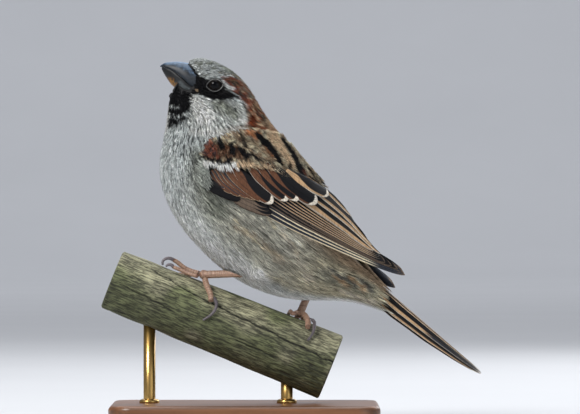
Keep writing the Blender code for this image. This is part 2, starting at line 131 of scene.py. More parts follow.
def noise(places, size, seed):
    """A smooth random field from -1 to 1.

    Space is cut into cubes of that size, every corner has a hashed random value, and a place
    takes the values of its cube's corners, each by 3t^2 - 2t^3 along the three edges.
    """
    at = places / size
    cell = np.floor(at).astype(np.int64)
    part = at - cell
    part = part * part * (3 - 2 * part)
    total = np.zeros(places.shape[:-1])
    for corner in np.ndindex(2, 2, 2):
        share = np.prod(np.where(corner, part, 1 - part), axis=-1)
        key = cell + np.array(corner)
        mark = key[..., 0] * 374761393 + key[..., 1] * 668265263 + key[..., 2] * 1440662683
        mark = (mark + seed * 974634777) & 0xFFFFFFFF
        mark = ((mark ^ (mark >> 13)) * 1274126177) & 0xFFFFFFFF
        mark ^= mark >> 16
        total += share * (mark / 2**31 - 1)
    return total


def sampled(grid, row, column, goes_round):
    """The grid's values between its points, in straight lines both ways. Columns may go round."""
    rows, columns = grid.shape[:2]
    row = np.clip(row, 0, rows - 1.001)
    column = column % columns if goes_round else np.clip(column, 0, columns - 1.001)
    r, c = row.astype(int), column.astype(int)
    extra = (Ellipsis,) + (None,) * (grid.ndim - 2)
    down, over = (row - r)[extra], (column - c)[extra]
    after = (c + 1) % columns
    top = mixed(grid[r, c], grid[r, after], over)
    return mixed(top, mixed(grid[r + 1, c], grid[r + 1, after], over), down)


def around(values, goes_round):
    """The mean of each grid value's four neighbours."""
    tall = np.concatenate([values[:1], values, values[-1:]])
    if goes_round:
        sides = np.roll(values, 1, 1) + np.roll(values, -1, 1)
    else:
        wide = np.concatenate([values[:, :1], values, values[:, -1:]], 1)
        sides = wide[:, 2:] + wide[:, :-2]
    return (tall[2:] + tall[:-2] + sides) / 4


def filled(values, goes_round=False):
    """The gaps, which are nan, take the mean of their neighbours until they lie smooth."""
    gaps = np.isnan(values)
    values = np.where(gaps, np.nanmean(values), values)
    for _ in range(FILLING_ROUNDS):
        values = np.where(gaps, around(values, goes_round), values)
    return values


def softened(values, rounds, goes_round=False):
    """Each value moves half way to its neighbours' mean, as many times as rounds says."""
    for _ in range(rounds):
        values = mixed(values, around(values, goes_round), 0.5)
    return values


def line_distance(places, line):
    """How far each place of the plane lies from the open line, and how far along it, 0 to 1."""
    line = np.asarray(line, float)
    best = np.full(len(places), np.inf)
    along = np.zeros(len(places))
    for index, (start, end) in enumerate(zip(line[:-1], line[1:])):
        way = end - start
        t = np.clip((places - start) @ way / (way @ way), 0, 1)
        gap = lengths(places - start - t[:, None] * way)
        nearer = gap < best
        best = np.where(nearer, gap, best)
        along = np.where(nearer, (index + t) / (len(line) - 1), along)
    return best, along


def outline_distance(places, outline):
    """How far each place of the plane lies outside the closed outline, below 0 inside it."""
    outline = np.asarray(outline, float)
    gap, _ = line_distance(places, np.vstack([outline, outline[:1]]))
    inside = np.zeros(len(places), bool)
    for start, end in zip(outline, np.roll(outline, -1, 0)):
        crosses = (start[1] > places[:, 1]) != (end[1] > places[:, 1])
        rise = np.where(end[1] == start[1], 1, end[1] - start[1])
        x = start[0] + (places[:, 1] - start[1]) / rise * (end[0] - start[0])
        inside ^= crosses & (places[:, 0] < x)
    return np.where(inside, -gap, gap)


# ---- the solids


def values_of(items, name, width=1, kind=np.int32):
    """One property of all the items of a mesh, in rows of that width."""
    values = np.empty(len(items) * width, kind)
    items.foreach_get(name, values)
    return values.reshape(-1, width)


def points_of(mesh):
    """The points of a mesh in millimetres."""
    return values_of(mesh.vertices, "co", 3, np.float32).astype(float) / MM


def solid(*names):
    """The points in millimetres and the triangles of some solids, as one."""
    points, faces, count = [], [], 0
    for name in names:
        mesh = NODES[name].data
        points.append(points_of(mesh))
        faces.append(values_of(mesh.loops, "vertex_index").reshape(-1, 3) + count)
        count += len(points[-1])
    return np.concatenate(points), np.concatenate(faces)


def tree_of(points, faces):
    """A search tree of triangles or quads, which answers rays."""
    return BVHTree.FromPolygons(points.tolist(), faces.tolist())


def ray_lengths(tree, starts, ways, reach=1e4):
    """How far each ray goes before it meets the tree's surface, or nan where it meets nothing."""
    rays = zip(starts.reshape(-1, 3).tolist(), ways.reshape(-1, 3).tolist())
    found = [tree.ray_cast(start, way, reach)[3] for start, way in rays]
    return np.array([np.nan if f is None else f for f in found]).reshape(starts.shape[:-1])


def along_axis(points):
    """The direction in which points reach furthest, and how far along it each lies."""
    middle = points.mean(0)
    way = np.linalg.svd(points - middle, full_matrices=False)[2][0]
    return way, (points - middle) @ way


def middle_of(name):
    """The middle of a solid's box and its size, in millimetres."""
    low, high = (np.array(corner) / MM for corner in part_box(name))
    return (low + high) / 2, high - low


# ---- meshes


def grid_faces(rows, columns, columns_close=True, rows_close=False):
    """Quads between the points of a grid, which may close from its last column or row to its first."""
    row = np.arange(rows if rows_close else rows - 1)[:, None]
    column = np.arange(columns if columns_close else columns - 1)[None, :]
    below, after = (row + 1) % rows * columns, (column + 1) % columns
    row = row * columns
    return np.stack([row + column, row + after, below + after, below + column], -1).reshape(-1, 4)


def sleeves(rings, flip=False):
    """Many closed tubes from rings[tube, ring, point]: points, quads and end faces.

    One tube may come without its own axis. A ring's points run so that their direction crossed
    with the tube's direction looks outwards.
    """
    rings = rings.reshape((-1,) + rings.shape[-3:])
    tubes, ring_count, sides = rings.shape[:3]
    each = ring_count * sides
    starts = np.arange(tubes)[:, None, None] * each
    quads = (grid_faces(ring_count, sides)[None] + starts).reshape(-1, 4)
    ring = np.arange(sides)
    ends = np.stack([ring[::-1], ring + each - sides])
    caps = (ends[None] + starts).reshape(-1, sides)
    if flip:
        quads, caps = quads[:, ::-1], caps[:, ::-1]
    return rings.reshape(-1, 3), [quads, caps]


def spikes(rings):
    """Many closed, pointed, three-sided tubes from rings[tube, ring, point].

    Each last ring is drawn to a tip at its middle.
    """
    tubes, ring_count, sides = rings.shape[:3]
    each = (ring_count - 1) * sides + 1
    starts = np.arange(tubes)[:, None, None] * each
    body = rings[:, :-1].reshape(tubes, -1, 3)
    tips = rings[:, -1].mean(axis=1)[:, None]
    quads = (grid_faces(ring_count - 1, sides)[None] + starts).reshape(-1, 4)
    ring = np.arange(sides)
    last = (ring_count - 2) * sides
    fan = np.stack([last + ring, last + (ring + 1) % sides, np.full(sides, each - 1)], -1)
    ends = np.concatenate([fan, ring[::-1][None]])
    closing = (ends[None] + starts).reshape(-1, 3)
    return np.concatenate([body, tips], 1).reshape(-1, 3), [quads, closing]


def add_mesh(name, points, face_groups):
    """A mesh of that name from points in millimetres and groups of faces with equal corners."""
    mesh = bpy.data.meshes.new(name)
    sizes = np.concatenate([np.full(len(group), group.shape[1]) for group in face_groups])
    corners = np.concatenate([group.ravel() for group in face_groups]).astype(np.int32)
    mesh.vertices.add(len(points))
    mesh.vertices.foreach_set("co", (points * MM).astype(np.float32).ravel())
    mesh.loops.add(len(corners))
    mesh.loops.foreach_set("vertex_index", corners)
    mesh.polygons.add(len(sizes))
    mesh.polygons.foreach_set("loop_start", (np.cumsum(sizes) - sizes).astype(np.int32))
    mesh.polygons.foreach_set("use_smooth", np.ones(len(sizes), bool))
    mesh.update(calc_edges=True)
    mesh.validate()
    return mesh


def put_colours(mesh, name, colours):
    """Gives every point a colour, of three or four numbers."""
    colours = colours.reshape(-1, colours.shape[-1])
    values = np.ones((len(colours), 4), np.float32)
    values[:, :colours.shape[1]] = colours
    mesh.attributes.new(name, "FLOAT_COLOR", "POINT").data.foreach_set("color", values.ravel())


def put_vectors(mesh, name, vectors):
    """Gives every point a vector."""
    values = vectors.astype(np.float32).ravel()
    mesh.attributes.new(name, "FLOAT_VECTOR", "POINT").data.foreach_set("vector", values)


def put_map(mesh, name, places):
    """Gives the mesh a UV map from one place for each point."""
    corners = values_of(mesh.loops, "vertex_index")[:, 0]
    places = places.reshape(-1, 2)[corners].astype(np.float32)
    mesh.uv_layers.new(name=name).uv.foreach_set("vector", places.ravel())


def new_object(name, data):
    """A new object in the scene."""
    made = bpy.data.objects.new(name, data)
    bpy.context.scene.collection.objects.link(made)
    return made


def add_piece(name, shape, finish, replaces=(), tint=None):
    """Puts a shape, its points and groups of faces, into the scene and returns its mesh.

    It rides the body and stands for the named solids. tint holds a colour for each point.
    """
    mesh = add_mesh(name, *shape)
    if tint is not None:
        put_colours(mesh, "tint", tint)
    mesh.materials.append(finish.material)
    piece = new_object(name, mesh)
    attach(piece, "root")
    if replaces:
        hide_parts(*replaces)
    return mesh


# ---- materials


class Finish:
    """A material built node by node. Each method returns the socket that holds its result."""

    def __init__(self, name, **sockets):
        self.material = bpy.data.materials.new(name)
        self.material.use_nodes = True
        self.tree = self.material.node_tree
        self.shader = self.tree.nodes["Principled BSDF"]
        for socket, value in sockets.items():
            self.shader.inputs[socket.replace("_", " ")].default_value = value

    def node(self, kind, inputs, output=0, **settings):
        """Adds a node; inputs maps a socket's name or number to a value or another socket."""
        node = self.tree.nodes.new("ShaderNode" + kind)
        for key, value in settings.items():
            setattr(node, key, value)
        for key, value in inputs.items():
            if isinstance(value, bpy.types.NodeSocket):
                self.tree.links.new(value, node.inputs[key])
            else:
                node.inputs[key].default_value = value
        return node.outputs[output]

    def math(self, operation, first, second=0.0):
        """One sum on two numbers."""
        return self.node("Math", {0: first, 1: second}, operation=operation)

    def step(self, value, low, high, start=0.0, end=1.0):
        """start where value is below low, end where it is above high, smooth between."""
        inputs = {"Value": value, "From Min": low, "From Max": high, "To Min": start, "To Max": end}
        return self.node("MapRange", inputs, interpolation_type="SMOOTHSTEP")

    def blend(self, share, first, second, how="MIX"):
        """One colour laid over another by a share."""
        inputs = {0: share, 6: first, 7: second}
        return self.node("Mix", inputs, output=2, data_type="RGBA", blend_type=how)

    def read(self, name, output="Color"):
        """What the mesh's points carry under that name."""
        return self.node("Attribute", {}, output=output, attribute_name=name)

    def parts(self, vector):
        """The three numbers of a vector."""
        return tuple(self.node("SeparateXYZ", {0: vector}).node.outputs)

    def vector(self, x, y, z):
        """A vector of three numbers."""
        return self.node("CombineXYZ", {0: x, 1: y, 2: z})

    def places(self, scale=(1.0, 1.0, 1.0), turn=(0.0, 0.0, 0.0)):
        """Object coordinates, turned and scaled."""
        own = self.node("TexCoord", {}, output="Object")
        return self.node("Mapping", {0: own, "Rotation": turn, "Scale": scale})

    def grain(self, scale, detail=3.0, roughness=0.55, distortion=0.0, vector=None):
        """Cloudy noise from 0 to 1, over Object coordinates unless a vector is given."""
        inputs = {"Vector": self.places() if vector is None else vector, "Scale": scale}
        inputs.update({"Detail": detail, "Roughness": roughness, "Distortion": distortion})
        return self.node("TexNoise", inputs)

    def cells(self, scale):
        """Distances to scattered points, which make small cells."""
        return self.node("TexVoronoi", {"Vector": self.places(), "Scale": scale})

    def send(self, name, socket):
        """Gives a socket to an input of the shader."""
        self.tree.links.new(socket, self.shader.inputs[name])
        return self

    def between(self, texture, low, high, first, second, most=1.0):
        """Makes the colour first where the texture is low and most of second where it is high."""
        return self.send("Base Color", self.blend(self.step(texture, low, high, 0.0, most), first, second))

    def toned(self, colour, tone):
        """Makes the colour darker or lighter by a tone."""
        grey = self.node("CombineColor", {0: tone, 1: tone, 2: tone})
        return self.send("Base Color", self.blend(1.0, colour, grey, "MULTIPLY"))

    def tinted(self, texture, low, high, start, end):
        """Takes the points' tint as the colour, toned from start to end by a texture."""
        return self.toned(self.read("tint"), self.step(texture, low, high, start, end))

    def gloss(self, texture, start, end):
        """Lets the roughness go from start to end with a texture."""
        return self.send("Roughness", self.step(texture, 0.2, 0.8, start, end))

    def bump(self, height, strength, distance):
        """Sends a relief to the shader, distance metres deep at full height."""
        inputs = {"Strength": strength, "Distance": distance, "Height": height}
        return self.send("Normal", self.node("Bump", inputs))


def opaque(colour):
    """A colour with its alpha of 1."""
    return tuple(colour) + (1.0,)


def shade(red, green, blue):
    """A colour in linear light from its three screen levels of 0 to 255."""
    level = np.array([red, green, blue]) / 255
    linear = np.where(level > 0.04045, ((level + 0.055) / 1.055) ** 2.4, level / 12.92)
    return tuple(float(value) for value in linear)


# ---- settings


def swatch(name, description, *levels):
    """A colour that a user may change."""
    return FloatVectorProperty(name=name, description=description, subtype="COLOR", size=3,
                               min=0, max=1, default=shade(*levels))


class PlumageColours(PropertyGroup):
    """The colours of the feathers."""

    crown: swatch("Crown", "Grey of the crown", 180, 184, 182)
    chestnut: swatch("Chestnut", "Red-brown behind the eye and on the nape", 128, 60, 32)
    nape: swatch("Nape", "Buff fringes between the chestnut of the nape", 154, 124, 94)
    smoke: swatch("Smoke", "Grey of the cheek's middle", 132, 136, 124)
    cheek: swatch("Cheek", "Grey of the cheek", 206, 210, 206)
    white: swatch("White", "White of the cheek's rim, wing bar and collar", 240, 240, 234)
    black: swatch("Black", "Black of the mask, the bib and the streaks", 13, 13, 16)
    breast: swatch("Breast", "Grey of the breast and flanks", 206, 212, 210)
    flank: swatch("Flank", "Duller grey-buff of the flanks", 190, 188, 174)
    belly: swatch("Belly", "Off-white of the belly", 242, 244, 238)
    rear: swatch("Rear", "Brown-grey of the rear flank and rump", 190, 182, 156)
    mantle: swatch("Mantle", "Buff-brown of the back", 146, 126, 102)
    buff: swatch("Buff", "Pale buff of feather edges", 206, 180, 148)
    amber: swatch("Amber", "Orange-brown of the mantle's edges", 146, 92, 56)
    pale: swatch("Pale", "Pale fringes and tips of the coverts and tertials", 208, 199, 184)
    straw: swatch("Straw", "Yellow-buff outer edges of the primaries and tail", 236, 222, 188)
    tan: swatch("Tan", "Brown-buff outer webs of the tertials", 178, 146, 110)
    rufous: swatch("Rufous", "Warm brown of the wing coverts", 92, 60, 42)
    rust: swatch("Rust", "Deep red-brown of the shoulder", 120, 72, 56)
    dusk: swatch("Dusk", "Brown-black of the flight feathers", 44, 47, 54)
    slate: swatch("Slate", "Grey-brown of the primary coverts", 100, 86, 74)


class CoatSizes(PropertyGroup):
    """How the barbs of the small feathers are laid."""

    thickness: FloatProperty(name="Barb thickness", default=0.45, min=0.1,
                             description="Share of the width that a barb is thick")
    fullness: FloatProperty(name="Fullness", default=0.95, min=0.1, max=1.4,
                            description="Multiplies the number of tufts")
    barbs: IntProperty(name="Barbs in a tuft", default=6, min=2, max=9,
                       description="How many barbs fan out of one root")
    seed: IntProperty(name="Seed", description="Starts the random draws", default=7)


class BarePartColours(PropertyGroup):
    """The colours of bill, eyes, legs and claws."""

    horn: swatch("Horn", "Blue-grey of the upper bill", 66, 84, 104)
    horn_pale: swatch("Pale horn", "Pale grey base of the lower bill", 84, 90, 92)
    horn_dark: swatch("Dark horn", "Tip and cutting edge of the bill", 20, 22, 24)
    gape: swatch("Gape", "Yellow-brown stripe of the lower bill", 150, 104, 36)
    leg: swatch("Leg", "Pink-brown of the legs", 172, 140, 118)
    leg_dark: swatch("Leg joints", "Darker joints and scale edges", 112, 76, 62)
    claw: swatch("Claw", "Grey-brown of the claws", 112, 104, 108)


class StandColours(PropertyGroup):
    """The colours of perch and stand."""

    bark: swatch("Bark", "Weathered grey wood of the branch", 140, 138, 112)
    # the colour of the painted shade in the branch's furrows and cracks, and of the bark's rim on the sawn
    # ends
    bark_dark: swatch("Furrows", "Dark furrows of the branch", 34, 34, 24)
    algae: swatch("Algae", "Green film on the branch", 88, 96, 60)
    heart: swatch("Cut wood", "Sawn ends of the branch", 190, 160, 116)
    base: swatch("Base", "Waxed wood of the stand", 116, 74, 44)
    brass: swatch("Brass", "Rods of the stand", 196, 160, 96)


class SparrowSettings(PropertyGroup):
    """All that a user may change."""

    plumage: PointerProperty(type=PlumageColours)
    coat: PointerProperty(type=CoatSizes)
    bare: PointerProperty(type=BarePartColours)
    stand: PointerProperty(type=StandColours)


def colours_of(name):
    """The colours of a group of the scene's settings by name, as arrays."""
    group = getattr(bpy.context.scene.sparrow, name)
    return {each: np.array(getattr(group, each)[:]) for each in type(group).__annotations__}


# ---- surfaces to lay feathers on


class Surface:
    """A grid of places on the bird's outline, with normals, and a second grid sunk below it."""

    def __init__(self, outer, depth, goes_round, outwards):
        self.outer, self.goes_round = outer, goes_round
        self.down = np.gradient(outer, axis=0)
        if goes_round:
            self.over = (np.roll(outer, -1, 1) - np.roll(outer, 1, 1)) / 2
        else:
            self.over = np.gradient(outer, axis=1)
        cross = np.cross(self.over, self.down)
        self.area = lengths(cross)  # that each grid point stands for
        self.normal = unit(cross) * outwards
        self.inner = outer - self.normal * np.asarray(depth)[..., None]

    def at(self, grid, row, column):
        """A grid's values at fractional rows and columns."""
        return sampled(grid, row, column, self.goes_round)


# Stations from bill to tail root: in side view a place on the back and the one below it on the
# breast or belly; then the depth of the coat, length and width of its barbs, and tufts to a
# square millimetre.
STATIONS = (
    (-18.6, 121.9, -23.1, 111.9, 0.40, 1, 0.14, 4),
    (-16.4, 122.7, -24.5, 110.5, 0.60, 1.3, 0.16, 3.6),
    (-10.1, 121.6, -26, 104.5, 0.90, 1.9, 0.18, 2.8),
    (-4, 118.4, -26.5, 100.8, 1.20, 2.5, 0.20, 2.2),
    (1.7, 112.5, -27.5, 95.8, 1.60, 3.4, 0.21, 1.8),
    (5.7, 105.8, -28.8, 88.4, 2.00, 4.4, 0.22, 1.5),
    (10.4, 99.1, -28.3, 80.4, 2.20, 5.2, 0.23, 1.35),
    (16.4, 92.9, -24.8, 71, 2.40, 5.8, 0.23, 1.3),
    (23.8, 83.7, -15.7, 58.9, 2.40, 6, 0.24, 1.25),
    (29.1, 73.3, -2.3, 47.9, 2.30, 6, 0.24, 1.25),
    (35.2, 61.9, 16.8, 41.5, 2.00, 5.6, 0.24, 1.3),
    (42.5, 51.7, 35.2, 40.8, 1.50, 5, 0.23, 1.5),
    (51.5, 42.1, 54.2, 34.2, 0.90, 5, 0.22, 2),
    (58, 36.8, 58.8, 29.9, 0.50, 5, 0.22, 2),
    (65, 31, 64.4, 25.6, 0.30, 5, 0.22, 2),
)
TAIL_ROOT = 11.45  # past this station the rows run on over the tail, and only tips reach there
BODY_ROWS, BODY_COLUMNS = 210, 160
SEARCH_MARGIN = 4.0  # how far outside the outline the body's rays start
PIT, BODY_SOFT = 1.0, 4  # a place this far below rows near it is a gap; rounds of softening
FAR = 60.0  # where the rays of a height field start
SOCKET_REACH = 3.7  # around an eye's middle the outline is drawn in afresh
SOCKET_LEVEL, SOCKET_SHARE = 7.9, 0.7  # how far out the skin lies there, and how much of that is taken
SOCKET_EDGES = (5.0, 2.4)  # where this begins and where it is full
FACE_SLIM = (0.27, 0.35)  # how much narrower the body gets behind and before the feather line
FLESH = ("head", "neck", "trunk", "thigh_left", "thigh_right")
# The bare front of the head in side view, whose rear border is the feather line round the bill.
FACE = ((-18.8, 120.5), (-17.4, 118.6), (-16.7, 115.6), (-17.4, 113.3), (-18.8, 110.9), (-20.7, 111.6),
        (-22.9, 112.8), (-24.6, 113.5), (-31, 114), (-31, 123), (-24, 123))


@lru_cache
def body_surface():
    """The bird's body as rows from bill to tail root and columns round it.

    Row and column give a plane across the body and a direction in it: up * cos + left * sin.
    The place is where a ray from outside, along that direction, first meets the solids.
    """
    rows = through(STATIONS, np.linspace(0, 1, BODY_ROWS))
    back, under, coat = rows[:, :2], rows[:, 2:4], rows[:, 4:]
    middle = np.insert((back + under) / 2, 1, 0, axis=1)
    up = np.insert(unit(back - under), 1, 0, axis=1)
    reach = lengths(back - under) / 2 + SEARCH_MARGIN
    turn = circle(BODY_COLUMNS)
    way = up[:, None] * np.cos(turn)[:, None] + np.array([0, LEFT, 0]) * np.sin(turn)[:, None]
    starts = middle[:, None] + way * reach[:, None, None]
    radius = reach[:, None] - ray_lengths(tree_of(*solid("tail", *FLESH)), starts, -way)
    near = np.stack([np.roll(radius, k, 0) for k in (-3, -2, 2, 3)])
    radius[radius < np.nanmedian(near, axis=0) - PIT] = np.nan
    for side in SIDES:
        eye, _ = middle_of("eye_" + side)
        place = middle[:, None] + way * radius[..., None]
        radius[lengths(place - eye) < SOCKET_REACH] = np.nan
    radius = softened(filled(radius, True), BODY_SOFT, True)
    depth = np.repeat(coat[:, :1], BODY_COLUMNS, axis=1)
    place = middle[:, None] + way * radius[..., None]
    front = face_depth(place)
    place[..., 1] *= 1 - FACE_SLIM[0] * ramp(-3.5, 0, front) - FACE_SLIM[1] * ramp(0, 2.5, front)
    for side, sign in SIDES.items():
        eye, _ = middle_of("eye_" + side)
        gap = np.hypot(place[..., 0] - eye[0], place[..., 2] - eye[2])
        near = SOCKET_SHARE * ramp(*SOCKET_EDGES, gap) * (place[..., 1] * sign > 0)
        place[..., 1] = mixed(place[..., 1], sign * SOCKET_LEVEL, near)
    surface = Surface(place, depth, True, 1)
    surface.coat, surface.turn = coat, turn
    reached = chords(np.array(STATIONS))
    shares = np.linspace(0, 1, BODY_ROWS)
    surface.station = np.interp(shares, reached / reached[-1], np.arange(len(STATIONS)))
    return surface


def face_depth(places):
    """How far places lie in front of the feather line, in side view; below 0 behind it."""
    flat = places[..., [0, 2]].reshape(-1, 2)
    return -outline_distance(flat, FACE).reshape(places.shape[:-1])


def strands(surface, lie):
    """A number for each grid point that stays the same along the lie, in columns.

    Row after row a point takes the number from where the lie comes from in the row above.
    """
    drift = np.tan(lie) * lengths(surface.down) / lengths(surface.over)
    column = np.arange(lie.shape[1], dtype=float)
    offset = np.zeros_like(lie)
    for row in range(1, len(lie)):
        back = column - drift[row]
        offset[row] = np.interp(back, column, offset[row - 1], period=lie.shape[1]) - drift[row]
    return offset + column


class Sheet(Surface):
    """A height field over a plane through origin, measured along its normal on some solids.

    Its points lie step apart from low to high. It is softened soft times and lowered by sink.
    """

    def __init__(self, trees, origin, along, across, outwards, low, high, step, sink, soft, depth=1.0,
                 arch=None):
        along, across = np.array(along, float), np.array(across, float)
        self.low, self.step = np.array(low, float), step
        normal = np.cross(along, across)
        self.hand = 1 if normal @ np.array(outwards) > 0 else -1
        normal = normal * self.hand
        counts = np.ceil((np.array(high) - low) / step).astype(int) + 1
        a = low[0] + step * np.arange(counts[0])
        b = low[1] + step * np.arange(counts[1])
        flat = np.array(origin) + a[:, None, None] * along + b[None, :, None] * across
        ways = np.broadcast_to(-normal, flat.shape)
        heights = [FAR - ray_lengths(tree, flat + normal * FAR, ways) for tree in trees]
        height = filled(np.fmax.reduce(heights))
        height = softened(height, soft) - sink
        if arch:
            height = height.mean() - arch(a[:, None], b[None, :])
        super().__init__(flat + normal * height[..., None], np.full(height.shape, depth), False, -self.hand)

    def place(self, plan, lift=0.0):
        """The places over points of the plane, raised by lift along the surface's normal."""
        row = (plan[..., 0] - self.low[0]) / self.step
        column = (plan[..., 1] - self.low[1]) / self.step
        lift = np.asarray(lift)
        return self.at(self.outer, row, column) + self.at(self.normal, row, column) * lift[..., None]


# ---- markings

MOTTLED = 1.5  # marks more ragged than this break up into spots
# Marks of the head and body in side view (x, z), laid in this order: a colour, its outline or
# line, half width of a line at both ends (none for an outline), soft edge, ragged edge, strength.
HEAD_MARKS = (
    ("crown", ((-21, 125), (-18.2, 120.8), (-15.6, 118), (-12.9, 115.4), (-9.8, 116), (-7, 116.4),
     (-3.2, 116.6), (0.6, 113.6), (4, 109.5), (8, 112), (0, 125)), None, 0.4, 0.5, 1),
    ("chestnut", ((-8.2, 116), (-3, 116.4), (0.8, 113.4), (4.2, 109), (8.6, 102.5), (10.5, 98.5),
     (4.5, 98.2), (1, 100.6), (1.9, 102.6), (1.4, 105.8), (-1.6, 108.8), (-3.8, 111.4), (-6.2, 113.8)),
     None, 0.4, 0.7, 0.95),
    ("nape", ((1.8, 110), (4.6, 105.4), (7.8, 100.4)), (0.8, 1.6), 0.2, 3, 0.95),
    ("nape", ((-4.6, 114.8), (1, 111.2), (4.6, 105.4)), (0.2, 0.8), 0.2, 2.2, 0.9),
    ("buff", ((-3.6, 113.4), (1.4, 108.8), (3.4, 104)), (0, 0.3), 0.15, 2.2, 0.8),
    ("buff", ((2.6, 108.6), (6, 102.8), (8.6, 99.4)), (0, 0.4), 0.15, 1.5, 0.7),
    ("smoke", ((-6.4, 115.2), (-1.6, 112.8), (2.6, 107.8)), (-0.1, 0.1), 0.1, 1.5, 0.8),
    ("buff", ((0.2, 110.4), (4, 104.6), (5.6, 100.4)), (0, 0.2), 0.1, 1.5, 0.85),
    ("dusk", ((-2.6, 112), (3, 106.6), (6.4, 101.4)), (-0.2, 0), 0.1, 1.5, 0.9),
    ("black", ((-6, 114.9), (0.6, 111.4), (4.4, 104.6), (7, 100)), (-0.3, -0.1), 0.2, 2.4, 0.85),
    ("black", ((-0.4, 106.6), (2.4, 103), (5, 99.8)), (-0.5, -0.3), 0.2, 2, 0.8),
    ("smoke", ((-16, 120.4), (-9, 119.4), (-1, 116.4), (4.6, 110.6)), (0.4, 0.4), 0.2, 2.6, 0.8),
    ("dusk", ((-14, 119.4), (-7, 118.4), (0, 115.4), (5, 110)), (-0.8, -0.3), 0.2, 2.4, 0.55),
    ("smoke", ((-6, 119), (0, 116), (5.4, 109.6)), (1.3, 1.5), 0.9, 0.8, 0.9),
    ("nape", ((-7.6, 117.6), (-2.6, 116.2), (2, 112.4)), (0, 0.3), 0.2, 1.5, 0.5),
    ("cheek", ((-17.2, 109.4), (-13.5, 109.6), (-9, 108.6), (-3.4, 108.2), (-0.4, 106), (1.2, 102.6),
     (0.6, 100.2), (-3.4, 98.8), (-10, 98.2), (-15.8, 98.8), (-19.4, 99.4), (-18.6, 104.6)),
     None, 0.5, 0.3, 1),
    ("white", ((-18, 108.4), (-15.2, 106.4), (-13.4, 102.6)), (1.8, 2.8), 2.2, 0.6, 0.95),
    ("smoke", ((-8.4, 106.6), (-4.6, 104.6), (-2.8, 102.6)), (2.2, 1.7), 1.6, 0.9, 0.9),
    ("white", ((-1.6, 101.6), (0.5, 100.9)), (0.7, 0.5), 0.4, 0.3, 0.9),
    ("chestnut", ((-5.4, 98.2), (-0.6, 98.9), (2, 100.4)), (0.2, 0.4), 0.3, 0.4, 0.8),
    ("white", ((-17.4, 97.6), (-8, 97.2), (0.4, 98.6)), (1.1, 0.8), 0.9, 0.4, 0.9),
    ("black", ((-26, 121.4), (-18.9, 121.2), (-17.3, 119.7), (-15.2, 116.7), (-12.9, 115), (-10.4, 115.8),
     (-7.9, 115.5), (-6.4, 113.9), (-6, 112), (-3.6, 110.4), (-1.2, 109.2), (-5.6, 108.2), (-10.4, 108.5),
     (-13.8, 109.7), (-16.2, 110.2), (-18.2, 110.5), (-26, 112)), None, 0.25, 0.35, 1),
    ("white", ((-7.2, 114.3), (-5.6, 113.2), (-3.6, 112)), (0.3, 0.45), 0.2, 0.2, 0.95),
    ("buff", ((-16.1, 111.7), (-15.7, 111.3)), (0.3, 0.2), 0.2, 0.1, 0.8),
    ("black", ((-26, 114.4), (-20.6, 116.4), (-17.2, 112.4), (-17.9, 106.4), (-18.5, 104), (-19.5, 101.8),
     (-21.4, 98.9), (-26.4, 98.2), (-29, 98.2), (-29, 106)), None, 0.5, 0.9, 1),
    ("breast", ((-28, 107.2), (-22.4, 105.6)), (-0.2, 0), 0.15, 1.5, 0.5),
    ("breast", ((-28.5, 103.6), (-24, 102.4), (-19.5, 103.4)), (0, 0.3), 0.15, 1.5, 0.7),
    ("breast", ((-28.8, 99.4), (-24.6, 98.6), (-20.8, 99.8)), (0.2, 0.6), 0.2, 1.5, 0.8),
    ("breast", ((-30, 97), (-24.4, 97.2), (-20, 98.4), (-20, 96), (-30, 96)), None, 0.3, 1.2, 0.9),
    ("white", ((-25.7, 108), (-26.1, 103), (-26.8, 98)), (0.1, 0.8), 0.3, 0.5, 0.9),
    ("buff", ((5, 99.6), (8.6, 101.6), (12, 98)), (0.5, 0.6), 0.5, 0.8, 0.7),
)
BODY_MARKS = (
    ("smoke", ((-15.2, 89), (-14.5, 84), (-9, 72)), (3, 4), 3.5, 0.6, 0.9),
    ("smoke", ((-12, 78), (-4, 66), (6, 58)), (2.5, 3), 3, 0.6, 0.18),
    ("straw", ((7, 70.1), (10.9, 64.8), (14.3, 62.5), (16.9, 59.4), (18.4, 55)),
     (0.2, 0.3), 0.15, 0.5, 0.7),
    ("straw", ((-3.3, 68.6), (0.4, 64.5), (3.9, 60.7), (8.6, 57.8), (12.1, 56.5)),
     (0.2, 0.3), 0.15, 0.6, 0.6),
    ("dusk", ((3.3, 64.5), (6.1, 60.7), (9.3, 58.8), (13.1, 56.9)), (0, 0.3), 0.15, 0.5, 0.5),
    ("pale", ((12, 66), (17, 57), (21.5, 48.5)), (0.4, 1.1), 0.8, 1.2, 0.6),
    ("buff", ((-3, 66), (6, 61), (13, 54)), (0.5, 1.2), 1, 1.2, 0.4),
    # the lower belly's whitish feathers, brightened further as painted light thrown up from below
    ("white", ((-9, 59), (-3, 53), (6, 48)), (1.4, 2.4), 2.2, 1, 0.9),
    # painted shade: the thigh's shadow on the lower flank, laid in the rear's brown-grey
    ("rear", ((8, 50), (14, 47)), (0.6, 1.2), 1, 1.2, 0.7),
    ("smoke", ((26, 50), (42, 44.6)), (2, 2.6), 1.6, 0.9, 0.5),
    ("dusk", ((28, 52.4), (32.6, 48.6)), (0.3, 0.7), 0.4, 0.9, 0.8),
    ("dusk", ((33, 50), (37.4, 46.2)), (0.4, 0.8), 0.4, 0.9, 0.8),
    ("dusk", ((38.2, 48.6), (42.8, 44.4)), (0.4, 0.8), 0.4, 0.9, 0.8),
    ("tan", ((30, 49.4), (34.6, 46)), (0.4, 0.7), 0.4, 0.9, 0.7),
    ("tan", ((35.4, 49.2), (40.4, 44.8)), (0.4, 0.7), 0.4, 0.9, 0.7),
    ("pale", ((32, 44.6), (38, 42.4), (43, 40.6)), (0.5, 0.8), 0.5, 0.8, 0.7),
)


